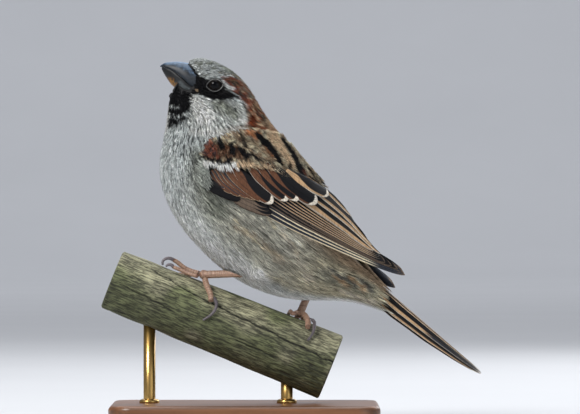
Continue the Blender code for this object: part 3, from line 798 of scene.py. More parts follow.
def painted(base, places, marks, colours, seed=3):
    """base with the marks laid over it, each full inside its edge and none past its soft edge.

    The edge wanders by noise times the mark's raggedness, so that colours end barb by barb. A mark
    more ragged than MOTTLED breaks up into spots.
    """
    plan = places[:, [0, 2]]
    fine = noise(places, 0.55, seed) + 0.6 * noise(places, 1.7, seed + 1)
    coarse = 1.4 * noise(places, 1.1, seed + 2) + 0.3 * fine
    base = base.copy()
    for colour, line, widths, soft, ragged, strength in marks:
        margin = soft + 1.7 * ragged + max(widths or (0,))
        corner, far_corner = np.min(line, axis=0) - margin, np.max(line, axis=0) + margin
        near = np.flatnonzero(((plan > corner) & (plan < far_corner)).all(axis=1))
        if widths is None:
            gap = outline_distance(plan[near], line)
        else:
            gap, along = line_distance(plan[near], line)
            gap = gap - mixed(widths[0], widths[1], along)
        wander = coarse if ragged > MOTTLED else fine
        amount = strength * (1 - ramp(-soft, soft, gap + ragged * wander[near]))
        base[near] = laid(base[near], colours[colour], amount)
    return base


def body_colours(places, station, turn, colours):
    """The colour of head and body at each place.

    The underparts run from grey breast through duller flanks to an off-white belly and the
    back is buff-brown with dark streaks along it. The marks of the head are laid over them.
    """
    side = np.abs((turn + np.pi) % (2 * np.pi) - np.pi)
    flank = ramp(2.75, 2.0, side) * ramp(5.5, 8.0, station)
    base = laid(colours["breast"], colours["flank"], flank)
    belly = ramp(2.2, 2.9, side) * ramp(6.0, 8.5, station)
    base = laid(base, colours["belly"], belly)
    rear = ramp(9.0, 10.4, station) * ramp(2.7, 2.2, side)
    cloud = noise(places, 5.0, 21)
    base = laid(base, colours["rear"], np.clip(rear + 0.2 * cloud * (station > 8), 0, 1))
    back = ramp(1.45, 1.05, side) * ramp(4.2, 5.2, station)
    base = laid(base, colours["mantle"], back)
    lines = joined(station * 0.8, side * 7.0, 0)
    streak = ramp(0.15, 0.55, noise(lines, 1.0, 5) + 0.3 * noise(places, 0.8, 6))
    streak = streak * back * ramp(10.2, 8.5, station) * ramp(4.8, 6.0, station)
    base = laid(base, colours["black"], 0.85 * streak)
    return painted(base, places, HEAD_MARKS + BODY_MARKS, colours)


# ---- barbs

FAN_SPREAD, BARB_BEND = 0.035, 0.05  # how far barbs lean off their tuft's lie, and bend, in radians
ROOT_SPREAD = (0.25, 0.16)  # how far their roots scatter, in rows and columns
BARB_LENGTHS, BARB_WIDTHS = (0.65, 1.15), (0.8, 1.2)  # least and greatest, as shares of the mean
ROOT_HEIGHT, TIP_HEIGHTS = 0.12, (0.75, 1.1)  # shares of the coat's depth at root and tip
TUFT_TONES, BARB_TONES = 0.07, 0.34  # how much tufts, and the barbs in them, differ in brightness
TOGETHER = 0.6  # how far a tuft's barbs share the colour of their common middle
SMEARED = 0.4  # how far a barb takes the colour of its tip's place
STREAK_WIDTH, STREAK_LENGTH = 0.30, 0.7  # of a fine streak: millimetres, and share of a barb's length
STREAK_DEPTH = 0.36
RING_TONES = np.array([0.60, 0.84, 1.0, 1.08])  # of a barb's rings, from root to tip
UV_PATCH, UV_MARGIN = 0.003, 0.004  # edge of a tuft's patch in the UV map, and the map's margin
BARB_TAPER = {3: (0.9, 1.0, 0.0), 4: (0.8, 1.0, 0.8, 0.0)}  # share of the width at each ring


def scattered(weights, rng):
    """Rows and columns of random places on a grid, as many near each point as its weight."""
    counts = np.floor(weights + rng.random(weights.shape)).astype(int).ravel()
    cells = np.repeat(np.arange(weights.size), counts)
    row, column = np.divmod(cells, weights.shape[1])
    spread = rng.random((2, len(cells))) - 0.5
    return row + spread[0], column + spread[1]


def lay_barbs(surface, row, column, lie, length, width, sizes, rng, rings):
    """Barbs of tufts rooted at (row, column): rings of three points, their middles, rows and columns.

    A barb leaves its root along lie, an angle from the rows' direction towards the columns',
    keeps to the surface as it goes, and climbs from the sunk grid to the outline. Its section
    is a low triangle, which narrows from the root to the tip.
    """
    count = len(row)
    fan = rng.normal(0, FAN_SPREAD, (count, sizes.barbs))
    angle = (lie[:, None] + fan).ravel()
    row = (row[:, None] + rng.normal(0, ROOT_SPREAD[0], fan.shape)).ravel()
    column = (column[:, None] + rng.normal(0, ROOT_SPREAD[1], fan.shape)).ravel()
    length = (length[:, None] * rng.uniform(*BARB_LENGTHS, fan.shape)).ravel()
    width = (width[:, None] * rng.uniform(*BARB_WIDTHS, fan.shape)).ravel()
    bend = rng.normal(0, BARB_BEND, angle.shape)
    down = lengths(surface.at(surface.down, row, column))
    over = lengths(surface.at(surface.over, row, column))
    share = np.linspace(0, 1, rings)[None, :]
    turned = angle[:, None] + bend[:, None] * share
    rows = row[:, None] + np.cos(turned) * share * (length / down)[:, None]
    columns = column[:, None] + np.sin(turned) * share * (length / over)[:, None]
    low = surface.at(surface.inner, rows, columns)
    high = surface.at(surface.outer, rows, columns)
    normal = unit(high - low)
    top = rng.uniform(*TIP_HEIGHTS, angle.shape)[:, None]
    climb = ROOT_HEIGHT + top * share**0.8 * (1 - ROOT_HEIGHT)
    spine = mixed(low, high, climb[..., None])
    along = unit(np.gradient(spine, axis=1))
    beside = unit(np.cross(normal, along))
    half = (width[:, None] / 2 * np.array(BARB_TAPER[rings]))[..., None]
    ridge = spine + normal * half * 2 * sizes.thickness
    section = np.stack([ridge, spine - beside * half, spine + beside * half], axis=2)
    return section, spine, rows, columns


def barb_map(row, column, window, sizes, rings):
    """One UV place for each point of the barbs: a small patch at the root's place.

    The unwrap is the surface's own grid, cut to the piece's window. Barbs lie side by side in
    their tuft's patch, from root to tip.
    """
    r0, r1, c0, c1 = window
    root = joined((column - c0) / (c1 - c0), (row - r0) / (r1 - r0))
    root = UV_MARGIN + (1 - 2 * UV_MARGIN) * np.clip(root, 0, 1)
    barb = (np.arange(sizes.barbs) + 0.5) / sizes.barbs - 0.5
    side = np.array([0.0, -0.5, 0.5]) / sizes.barbs
    share = np.linspace(-0.5, 0.5, rings)
    return root[:, None, None, None] + UV_PATCH * joined(barb[:, None, None] + side, share[:, None])


def add_coat(name, surface, cells, window, fields, paint, material, sizes, seed, rings=4):
    """One piece of coat: tufts where cells weigh, laid by the fields, coloured by paint.

    fields holds grids of lie, length, width and strand. paint takes places, rows and columns and
    returns colours, ring by ring. A barb is darker at its root and a little paler at its tip.
    """
    rng = np.random.default_rng(sizes.seed + seed)
    row, column = scattered(cells, rng)
    lie, length, width = (surface.at(fields[key], row, column) for key in ("lie", "length", "width"))
    section, spine, rows, columns = lay_barbs(surface, row, column, lie, length, width, sizes, rng, rings)
    many = sizes.barbs
    whole = spine.reshape(-1, many, rings, 3).mean(1)
    seen = mixed(spine, np.repeat(whole, many, 0), TOGETHER)
    seen = mixed(seen, seen[:, -2:].mean(1)[:, None], SMEARED)
    seen, rows, columns = seen.reshape(-1, 3), rows.ravel(), columns.ravel()
    used = cells.any(axis=1)
    grain = (STREAK_WIDTH / lengths(surface.over[used]).mean(),
             STREAK_LENGTH * length.mean() / lengths(surface.down[used]).mean())
    colour = paint(seen, rows, columns).reshape(-1, rings, 3)
    middle = slice(rings - 2, None, rings)
    colour = streaked(colour, surface, fields["strand"], grain, rows[middle], columns[middle])
    tuft = np.repeat(rng.normal(1, TUFT_TONES, len(row)).clip(0.5, 1.5), many)
    tone = tuft * rng.normal(1, BARB_TONES, len(spine)).clip(0.35, 1.7)
    tint = colour[:, :, None] * (tone[:, None] * RING_TONES[-rings:])[:, :, None, None]
    tint = np.broadcast_to(tint, section.shape)

    def per_point(values):
        body = values[:, :-1].reshape(len(values), -1, values.shape[-1])
        return np.concatenate([body, values[:, -1, :1]], 1).reshape(-1, values.shape[-1])

    tint = np.clip(per_point(tint), 0.001, 1)
    mesh = add_piece(name, spikes(section), material, tint=tint)
    places = barb_map(row, column, window, sizes, rings).reshape(-1, rings, 3, 2)
    put_map(mesh, "OFBake", per_point(places))


def streaked(colour, surface, strand, grain, row, column):
    """Barbs' colours in fine darker and lighter streaks along the lie, grain columns wide and rows long.

    The darker streaks are partly painted shade between barbs. Black stays as it is: the streaks fade out
    towards it.
    """
    place = joined(surface.at(strand, row, column) / grain[0], row / grain[1], 0)
    streak = noise(place, 1.0, 71) + 0.2 * noise(place, 3.0, 72)
    light = ramp(0.0, 0.1, colour.mean(2, keepdims=True))
    # darker and lighter streaks; the darker ones are partly painted shade between barbs
    return colour * np.exp(STREAK_DEPTH * streak[:, None, None] * light)


def coat_finish(name):
    """Soft barbs: the painted tint, broken by fine noise, with little gloss."""
    finish = Finish(name, Roughness=0.7, Specular_IOR_Level=0.2)
    return finish.tinted(finish.grain(2200.0, 2.0), 0.3, 0.7, 0.86, 1.12)


def skin_finish():
    """Skin under the coat: the same markings, darkened as painted shade beneath the coat, with a fine
    pebbled relief.
    """
    finish = Finish("skin", Roughness=0.8)
    fleck = finish.grain(900.0)
    finish.between(fleck, 0.3, 0.7, finish.read("tint"), (0.02, 0.018, 0.016, 1.0), 0.35)
    return finish.bump(fleck, 0.4, 0.0003)


# ---- large feathers

# Looks of a large feather: colour of its middle, of its webs' edges and of its fringe; where
# across it (-1 outer edge, 1 inner edge) the middle begins and ends, where along it (0 root, 1
# tip) the tip's fringe begins, how far from the edge the side fringe reaches; then where along it
# the middle has opened to its full width, and where the edges' colour gives way to the middle's.
KINDS = {
    "red covert": ("dusk", "rufous", "buff", (-0.30, 2, 0.985, 0.14), 0.30, 2),
    "dark covert": ("dusk", "rufous", "buff", (0, 2, 0.985, 0.14), 0.6, 2),
    "black covert": ("black", "rufous", "pale", (-0.44, 2, 0.925, 0.12), 0.72, 2),
    "large covert": ("black", "rufous", "pale", (-0.66, 2, 0.935, 0.11), 0.60, 2),
    "inner covert": ("black", "tan", "pale", (-0.56, 2, 0.94, 0.18), 0.70, 2),
    "alula": ("black", "black", "slate", (-2, 2, 0.99, 0.03), -1, 2),
    "primary covert": ("black", "slate", "slate", (-0.6, 2, 1.2, 0.08), 0.95, 2),
    "primary": ("dusk", "straw", "slate", (-0.66, 2, 0.995, 0), -1, 0.74),
    "inner primary": ("black", "slate", "slate", (-0.66, 2, 0.995, 0), 0.30, 0.9),
    "secondary": ("black", "tan", "pale", (-0.70, 2, 1.04, 0.08), -1, 0.90),
    "low tertial": ("black", "tan", "pale", (-0.42, 2, 1, 0.14), 0.55, 2),
    "tertial": ("black", "tan", "pale", (-0.54, 2, 1, 0.16), 0.30, 2),
    "tail": ("black", "tan", "pale", (-0.70, 2, 0.985, 0.08), -1, 2),
    "dark tail": ("black", "slate", "slate", (-0.94, 0.96, 0.99, 0), -1, 2),
    "tan tail": ("dusk", "tan", "pale", (-0.40, 0.88, 0.985, 0.10), -1, 0.50),
}


def fan(kind, roots, tips, bow, outer, inner, count):
    """Feather rows between the first and last root and tip, evenly spread along each line."""
    share = np.linspace(0, 1, count)

    def spread(places):
        places = np.array(places, float)
        at = share * (len(places) - 1)
        return [np.interp(at, np.arange(len(places)), column) for column in places.T]

    (rx, rz), (tx, tz) = spread(roots), spread(tips)
    return [(kind, rx[i], rz[i], tx[i], tz[i], bow, outer, inner) for i in range(count)]


# The folded left wing in side view, from the lowest feather to the topmost of each group: look,
# root (x, z), tip (x, z), bow as a share of the length, width of the outer and the inner web.
# A group has the lift of its first feather, the step to the next, how much higher its tips lie
# than its roots, and its camber: how far a web's middle stands over its edges, as a share of the
# web's width.
WING_GROUPS = (
    (0, 0.10, 0, 0.05,
     fan("primary", ((1.8, 73), (2.5, 76)), ((53.4, 49.9), (52.8, 51.1)), -0.012, 1.15, 2.5, 3)),
    (0.30, 0.10, 0, 0.05,
     fan("inner primary", ((2.7, 77), (3.2, 80)), ((51.2, 51.8), (46.6, 53.8)), -0.012, 1.2, 2.5, 3)),
    (0.66, 0.10, 0, 0.05,
     fan("secondary", ((3, 79.4), (10.6, 80.6)), ((44.8, 55.1), (42.2, 58.4)), -0.004, 1, 2.2, 6)),
    (1.35, 0.16, -0.2, 0.05, (
        ("low tertial", 12.8, 79, 42.6, 57.6, 0.026, 1.7, 1.6),
        ("tertial", 15.1, 80.2, 45, 56.4, 0.045, 1.7, 1.8),
        ("tertial", 17.5, 81, 42.2, 59.2, 0.056, 1.6, 2.2),
        ("tertial", 20.5, 83.5, 35.8, 68.8, 0.010, 1.4, 1.8),
    )),
    (0.75, 0.10, 0, 0.12, (
        ("primary covert", -5, 76.4, 9, 70.6, -0.03, 1.4, 1.6),
        ("primary covert", -4, 77.4, 8.2, 71.6, -0.03, 1.2, 1.6),
        ("primary covert", -3, 78.4, 7.4, 72.8, -0.03, 1.2, 1.6),
        ("alula", -13.4, 80.7, -1, 75.3, -0.04, 1.2, 1.7),
        ("alula", -12.8, 81.8, -3.2, 77.2, -0.04, 1.2, 1.7),
    )),
    (0.90, 0.11, 0.4, 0.06, (
        ("red covert", -11.8, 83.2, -6.4, 78.9, -0.05, 1, 1.6),
        ("red covert", -11.2, 84.2, -3.8, 77.6, -0.05, 1.1, 1.6),
        ("red covert", -10.4, 84.9, -1.2, 76.6, -0.05, 1.2, 1.7),
        ("red covert", -9.4, 85.4, 1.4, 75.9, -0.05, 1.2, 1.7),
        ("red covert", -8.4, 85.7, 4.2, 75.2, -0.05, 1.3, 1.8),
        ("dark covert", -7, 86, 6.2, 74.6, -0.04, 1.3, 1.9),
        ("black covert", -4.4, 86.2, 9.2, 73.8, -0.04, 1.8, 2.6),
        ("black covert", 0.3, 86.5, 13.8, 74.4, -0.03, 1.5, 2.2),
        ("black covert", 3.2, 86.4, 17, 74.2, -0.03, 1.3, 2.2),
        ("large covert", 6.6, 86.3, 22.6, 73, -0.02, 2.2, 2.6),
        ("inner covert", 13.2, 84.2, 26.2, 75.4, -0.02, 1.7, 1.9),
    )),
)
VANE_RINGS, VANE_ACROSS = 18, 7
VANE_THICKNESS = 0.12
CELL_MARGIN = 0.04  # round a feather's cell of the UV map, as a share of the cell
WING_PIVOT, RIGHT_WING_DROP = (-6.0, 88.0), np.radians(4.3)


def vane_rings(sheet, rows, lifts, rises, cambers):
    """Closed rings of points for feathers laid on a sheet, and each point's place in its feather.

    With t from root to tip and s from the outer to the inner edge, a point lies beside the shaft
    by s times the web's width, which swells over the first third and rounds off to the tip. The
    web is arched by 1 - s^2, and its underside closes it with a lens of the same form.
    """
    table = np.array([row[1:] for row in rows], float)
    root, tip, bow, outer, inner = table[:, :2], table[:, 2:4], table[:, 4], table[:, 5], table[:, 6]
    t = 1 - (1 - np.linspace(0, 1, VANE_RINGS)) ** 1.5
    s = np.linspace(1, -1, VANE_ACROSS)
    s = np.r_[s, s[-2:0:-1]]
    top = np.r_[np.ones(VANE_ACROSS), np.zeros(VANE_ACROSS - 2)]
    way = tip - root
    aside = joined(-way[:, 1], way[:, 0])
    hump = (4 * t * (1 - t))[None, :, None] * bow[:, None, None]
    shaft = root[:, None] + way[:, None] * t[None, :, None] + aside[:, None] * hump
    slope = way[:, None] + aside[:, None] * (4 * (1 - 2 * t))[None, :, None] * bow[:, None, None]
    beside = unit(joined(-slope[..., 1], slope[..., 0]))
    swell = mixed(0.4, 1.0, ramp(0, 0.35, t)) * np.sqrt(1 - np.clip((t - 0.78) / 0.22, 0, 0.998) ** 2)
    web = np.where(s < 0, outer[:, None], inner[:, None])[:, None, :] * swell[None, :, None] * s
    plan = shaft[:, :, None] + beside[:, :, None] * web[..., None]
    arch = (1 - s**2) * ((outer + inner) / 2 * cambers)[:, None, None]
    lift = lifts[:, None, None] + rises[:, None, None] * t[None, :, None] + arch
    lift = lift - (1 - top) * (1 - s**2) * VANE_THICKNESS
    length = lengths(way)[:, None, None]
    along = t[None, :, None]
    return sheet.place(plan, lift), joined(s, along, along * length - 0.9 * np.abs(web), web)


def add_vanes(name, sheet, groups, colours, material, replaces=()):
    """One piece of many large feathers, with their looks stored on their points."""
    rows = [row for group in groups for row in group[4]]
    heights = [(low + step * index, rise, camber) for low, step, rise, camber, members in groups
               for index in range(len(members))]
    rings, places = vane_rings(sheet, rows, *np.array(heights).T)
    mesh = add_piece(name, sleeves(rings, flip=sheet.hand < 0), material, replaces)
    each = rings.shape[1] * rings.shape[2]
    places = places.reshape(len(rows), each, 4)
    seed = np.linspace(0, 40, len(rows))[:, None]
    put_vectors(mesh, "vane", joined(places[..., 0], places[..., 1], seed))
    put_vectors(mesh, "barbs", joined(places[..., 2], places[..., 3], seed))
    looks = [KINDS[row[0]] for row in rows]
    for index, layer in enumerate(("middle", "edge", "fringe")):
        put_colours(mesh, layer, np.repeat([colours[look[index]] for look in looks], each, 0))
    put_colours(mesh, "limits", np.repeat([look[3] for look in looks], each, 0))
    put_vectors(mesh, "spans", np.repeat([look[4:] + (0.0,) for look in looks], each, 0))
    across = int(np.ceil(np.sqrt(len(rows))))
    cell = joined(*np.divmod(np.arange(len(rows)), across)[::-1])[:, None]
    inside = joined(places[..., 0] / 2 + 0.5, places[..., 1])
    put_map(mesh, "OFBake", (cell + CELL_MARGIN + (1 - 2 * CELL_MARGIN) * inside) / across)


def vane_finish(name, roughness):
    """A feather's web: middle, edges and fringe by place, ragged along its barbs, with a shaft.

    The borders wander by noise that is stretched along the barbs, and a fine ribbing along the
    barbs gives the relief.
    """
    finish = Finish(name, Roughness=roughness, Specular_IOR_Level=0.15)
    plus, minus = partial(finish.math, "ADD"), partial(finish.math, "SUBTRACT")
    times, larger = partial(finish.math, "MULTIPLY"), partial(finish.math, "MAXIMUM")

    def past(value, limit, soft):
        return finish.step(minus(value, limit), -soft, soft)

    across, along, seed = finish.parts(finish.read("vane", "Vector"))
    barb, offset, _ = finish.parts(finish.read("barbs", "Vector"))
    begin, end, tip = finish.node("SeparateColor", {0: finish.read("limits")}).node.outputs
    full, ended, _ = finish.parts(finish.read("spans", "Vector"))
    ribs = finish.grain(1.0, 3.0, 0.7, vector=finish.vector(times(barb, 4.0), times(offset, 0.5), seed))
    wander = minus(ribs, 0.5)
    opened = finish.step(minus(along, full), -0.7, 0.0, -1.2, 0.0)
    placed = plus(plus(across, times(wander, 0.2)), opened)
    edges = larger(minus(1.0, past(placed, begin, 0.07)), past(placed, end, 0.07))
    edges = times(edges, minus(1.0, finish.step(minus(along, ended), 0.0, 0.12)))
    colour = finish.blend(edges, finish.read("middle"), finish.read("edge"))
    side = finish.math("ABSOLUTE", across)
    bent = plus(plus(along, times(wander, 0.03)), times(finish.math("POWER", side, 2.0), 0.055))
    rim = minus(1.0, finish.read("limits", "Alpha"))
    fringed = larger(past(times(across, -1.0), rim, 0.03), past(bent, tip, 0.008))
    colour = finish.blend(fringed, colour, finish.read("fringe"))
    shaft = finish.step(side, 0.03, 0.10, 0.55, 1.0)
    root = finish.step(along, 0.0, 0.25, 0.75, 1.0)
    finish.toned(colour, times(times(finish.step(ribs, 0.25, 0.75, 0.62, 1.34), shaft), root))
    fine = finish.math("SINE", times(barb, 24.0))
    return finish.bump(plus(times(fine, 0.25), ribs), 0.35, 0.00012)


def side_sheet(trees, side, low, high, drop=0.0, **sizes):
    """One side of some solids as a height field in side view, turned down by drop at the wing's pivot."""
    along = np.array([np.cos(drop), 0, -np.sin(drop)])
    across = np.array([np.sin(drop), 0, np.cos(drop)])
    x, z = WING_PIVOT
    origin = np.array([x, 0, z]) - along * x - across * z
    return Sheet(trees, origin, along, across, (0, side, 0), low, high, **sizes)


# ---- shoulders

# The strip of breast in front of the wing, and the marks of the left shoulder, as HEAD_MARKS.
SHOULDER_FRONT = ((-20, 91.6), (-15.8, 90.4), (-12.8, 88.2), (-10.6, 84.4), (-9.4, 78), (-20, 78))
SHOULDER_MARKS = (
    ("rufous", ((-9.4, 93.6), (-5, 93.4), (-1, 92), (2, 89.4), (-1, 88.2), (-9, 88.8)),
     None, 0.6, 0.7, 0.85),
    ("rufous", ((-8, 92.6), (-3.6, 91.6)), (0.8, 0.8), 0.3, 1.6, 0.9),
    ("rust", ((-13.8, 94.6), (-11.2, 95.2), (-9.2, 92.8), (-8.4, 88.6), (-12.6, 88.6), (-14.8, 91.2)),
     None, 0.4, 0.7, 1),
    ("dusk", ((-13, 93.4), (-11, 91)), (0.4, 0.6), 0.2, 2.4, 0.7),
    ("black", ((-8.6, 95.4), (-7.4, 92.6)), (0.6, 1), 0.25, 0.5, 1),
    ("black", ((-4.6, 93.4), (-3.8, 90.6)), (0.6, 1.1), 0.25, 0.5, 1),
    ("black", ((-1.2, 91.6), (1, 89.2)), (0.6, 1.1), 0.25, 0.5, 1),
    ("black", ((2.6, 90), (6, 87.3)), (0.5, 0.8), 0.25, 0.5, 1),
    ("breast", SHOULDER_FRONT, None, 0.4, 0.6, 1),
    ("smoke", SHOULDER_FRONT, None, 0.4, 0.6, 0.75),
    ("white", ((-12.6, 87), (-9.4, 85.9), (-5, 85.7), (-2.4, 85.5)), (1.1, 2), 0.25, 0.3, 1),
    ("buff", ((-1.7, 86.4), (2.3, 86.5), (5.7, 85.5), (9, 84)), (1.1, 0.6), 0.4, 0.4, 0.95),
    ("black", ((-15, 89.8), (-11, 88.3), (-9, 87.6), (-6.9, 87.5), (-4.3, 88.4)),
     (0.5, 0.8), 0.2, 0.9, 1),
    ("buff", ((5.4, 87.4), (9.6, 84.4), (12.7, 82.8), (18.4, 80.6), (25.4, 78.8)),
     (0.4, 0.55), 0.3, 0.2, 0.9),
    ("rufous", ((-4.4, 97.2), (-1.8, 95.2), (1, 92.8)), (0.4, 0.5), 0.4, 0.8, 0.5),
    ("amber", ((1.6, 97.6), (5.6, 95.6), (7.4, 92.2), (9.4, 89.6)), (1.4, 0.5), 0.5, 0.7, 0.85),
    ("buff", ((9, 96.4), (11.7, 93.4), (14.4, 89.1), (16.4, 86.4)), (1.9, 1.1), 0.6, 0.6, 0.9),
    ("black", ((-1.5, 97.4), (-0.6, 95.2), (0.8, 93.2)), (0.5, 0.4), 0.3, 0.9, 0.9),
    ("black", ((4, 96.9), (6.7, 94.2)), (0.5, 1.25), 0.2, 0.4, 1),
    ("black", ((6.7, 94.2), (10, 90.8), (12.4, 86.7)), (1.25, 0.6), 0.2, 0.4, 1),
    ("black", ((12.5, 95.6), (15.1, 91.8)), (0.4, 0.7), 0.2, 0.4, 1),
    ("black", ((15.1, 91.8), (17.4, 88.1), (19.6, 83.2)), (0.7, 1.1), 0.2, 0.4, 1),
    ("black", ((15.2, 86.6), (15.5, 82.9)), (0.4, 0.6), 0.3, 0.5, 0.9),
    ("rust", ((19.6, 84.6), (21.3, 82.2)), (0.4, 0.3), 0.3, 0.4, 0.7),
    ("black", ((21, 86.4), (25.6, 79)), (0.2, 0.4), 0.2, 0.3, 0.95),
    ("black", ((24, 84.4), (27.6, 78.2)), (0.25, 0.4), 0.2, 0.3, 0.95),
)
# Where the shoulder's tufts are rooted, and which way they lie there: place and degrees below
# the level line towards the tail.
SHOULDER_ROOTS = ((-12.8, 88.6), (-12.9, 85.4), (-12.6, 81.6), (-13.8, 79.8), (-15.4, 80), (-17.4, 84),
                  (-15.2, 91.6), (-14.2, 94.4), (-11, 96.6), (-4, 98.8), (4, 99.8), (11, 98.6),
                  (15.6, 94.2), (21, 88.2), (26.6, 80.4), (19.4, 82.4), (11.8, 85.2), (6.6, 87.4),
                  (-1.2, 87.4), (-8, 87))
SHOULDER_LIES = ((-16, 82, 40), (-16, 86, 35), (-14.5, 91.5, 30), (-11.5, 93, 75), (-12, 88.5, 75),
                 (-8, 89, 80), (-2, 89, 70), (4, 89, 55), (0, 95, 55), (8, 93, 50), (14, 93, 56),
                 (19, 86, 60), (24, 82, 50))
SHOULDER_SEED = 40  # added to the seed for the shoulders' random draws
SHOULDER_BARB = (3.3, 0.20, 3.0)  # length, width, tufts to a square millimetre


def shoulder_colours(places, colours):
    """The colour of shoulder and scapulars: mottled buff-brown with the marks laid over it."""
    mottle = noise(places, 1.3, 31)
    base = laid(colours["mantle"], colours["rear"], np.clip(0.4 + mottle, 0, 1))
    dark = ramp(0.2, 0.5, noise(places, 0.8, 32))
    base = laid(base, colours["dusk"], 0.6 * dark)
    return painted(base, places, SHOULDER_MARKS, colours, 33)


# ---- tail

TAIL_ORIGIN, TAIL_END = (40.4, 50.8), (78.6, 17.9)
TAIL_LENGTH = float(np.hypot(TAIL_END[0] - TAIL_ORIGIN[0], TAIL_END[1] - TAIL_ORIGIN[1]))
TAIL_HALF = (3.8, 5.4)  # half width of the tail at root and tip
TAIL_DROP = ((0, 4.0), (0.22, 6.0), (0.6, 4.2), (0.85, 2.3), (1.0, 1.0))  # how far its sides hang down
TAIL_WEB = 1.0  # width of the outer webs
TAIL_STEP = 0.16  # how far each pair lies below the next inner one
# From the middle pair outwards: look, how far its tips pass the tail's end, place on the way out.
TAIL_PAIRS = (
    ("tail", 0, 0.22),
    ("dark tail", 0.8, 0.52),
    ("tan tail", 1, 0.7),
    ("dark tail", 0.6, 0.84),
    ("tail", -0.4, 0.94),
    ("dark tail", -2.2, 1),
)


def tail_arch(a, b):
    """The closed tail's roof: it falls away from the middle by the square of the way out."""
    share = np.clip(a / TAIL_LENGTH, 0, 1)
    out = np.abs(b) / mixed(TAIL_HALF[0], TAIL_HALF[1], share)
    return np.interp(share, *np.transpose(TAIL_DROP)) * np.minimum(out, 1.1) ** 2


def tail_sheet():
    """The tail's upper side over the plane that runs along it and across the bird."""
    way = unit(np.array([TAIL_END[0] - TAIL_ORIGIN[0], 0, TAIL_END[1] - TAIL_ORIGIN[1]]))
    origin = (TAIL_ORIGIN[0], 0, TAIL_ORIGIN[1])
    tree = tree_of(*solid("tail"))
    return Sheet([tree], origin, way, (0, 1, 0), (0, 0, 1), (-1, -7), (54, 7), step=0.5, sink=0.2, soft=8,
                 arch=tail_arch)


def tail_groups():
    """Six pairs of tail feathers over the roof, the outermost lowest."""
    groups = []
    for pair in reversed(range(len(TAIL_PAIRS))):
        kind, longer, out = TAIL_PAIRS[pair]
        for side in (1, -1):
            near, far = (side * out * (half - TAIL_WEB) for half in TAIL_HALF)
            webs = (TAIL_WEB, 1.7) if side < 0 else (1.7, TAIL_WEB)
            row = (kind, 0.0, near, TAIL_LENGTH + longer, far, 0.0) + webs
            groups.append((-TAIL_STEP * pair + 0.03 * side, 0.0, 0.0, 0.05, [row]))
    return groups


# ---- bare parts

# Bill from base to tip: ridge or keel (x, z), cutting edge (x, z), half width at the edge.
BILL_UPPER = (
    (-16, 120, -16.4, 112.6, 5.2),
    (-17.6, 120.4, -18, 113.1, 5),
    (-19.2, 120.9, -20, 115, 4.5),
    (-20.8, 121.2, -21.7, 116.5, 3.9),
    (-22.6, 121.35, -23.6, 118, 3.05),
    (-24.8, 121.25, -25.6, 119.1, 2.1),
    (-27, 120.9, -27.3, 119.6, 1.1),
    (-28.5, 119.9, -28.35, 119.6, 0.25),
)
BILL_LOWER = (
    (-18.2, 109.6, -16.6, 112.7, 4.8),
    (-20.4, 110.7, -18.4, 113.5, 4.6),
    (-22.6, 112, -20.4, 115.3, 4.1),
    (-24.5, 113.5, -22.5, 117.1, 3.4),
    (-26.2, 115.8, -24.9, 118.8, 2.3),
    (-27.4, 117.8, -27.1, 119.5, 1),
    (-27.9, 118.8, -27.9, 119.6, 0.25),
)
BILL_RINGS, BILL_ROUND = 44, 28
SIDE_BULGE = 0.8  # under 1 fills the bill's section out beyond a half ellipse


def bill_half(stations, face):
    """Rings of a bill's half: from one cutting edge over the ridge to the other.

    With a from 0 to 180 degrees a point is edge + (ridge - edge) * sin(a)^bulge and lies
    half width * cos(a) to the side. face is 1 for the upper half and -1 for the lower.
    """
    rows = through(stations, np.linspace(0, 1, BILL_RINGS))
    a = np.linspace(0, np.pi, BILL_ROUND)
    rise = (np.sin(a) ** SIDE_BULGE)[None, :, None]
    ridge, edge = rows[:, None, :2], rows[:, None, 2:4]
    plan = edge + (ridge - edge) * rise
    y = rows[:, None, 4] * np.cos(a)[None, :] * -face
    return joined(plan[..., 0], y, plan[..., 1])


EYE_INSET = 0.05  # how much deeper than its solid an eyeball sits
EYE_RADIUS = 2.45
IRIS, PUPIL = 2.2, 1.3  # radii on the ball's face
OPENING = (2.0, 1.72)  # half length and half height between the lids
RING = (2.34, 2.06)  # the same of the pale ring round them
LID_REACH = (2.62, 2.34)  # and of the bare skin's outer edge
CORNERS = (0.30, 0.40, 0.35)  # how far these three are drawn out at the eye's corners
EYE_TILT = np.radians(6)  # the opening's rear corner stands this much higher


def oval(angle, halves, corners):
    """The radius of an oval at an angle, drawn out to a point at its two corners."""
    x, z = np.cos(angle) / halves[0], np.sin(angle) / halves[1]
    return 1 / np.sqrt(x * x + z * z) + corners * np.abs(np.cos(angle)) ** 14


def eye_ball(side):
    """A ball as rings round its outward axis, from pole to pole, and its middle."""
    middle, _ = middle_of("eye_" + side)
    middle = middle - np.array([0, SIDES[side], 0]) * EYE_INSET
    polar = np.linspace(0.02, np.pi - 0.02, 40)[:, None]
    turn = circle(48)[None, :]
    y = SIDES[side] * np.cos(polar)
    x, z = np.sin(polar) * np.cos(turn), np.sin(polar) * np.sin(turn) * SIDES[side]
    return middle + EYE_RADIUS * joined(x, y, z), middle


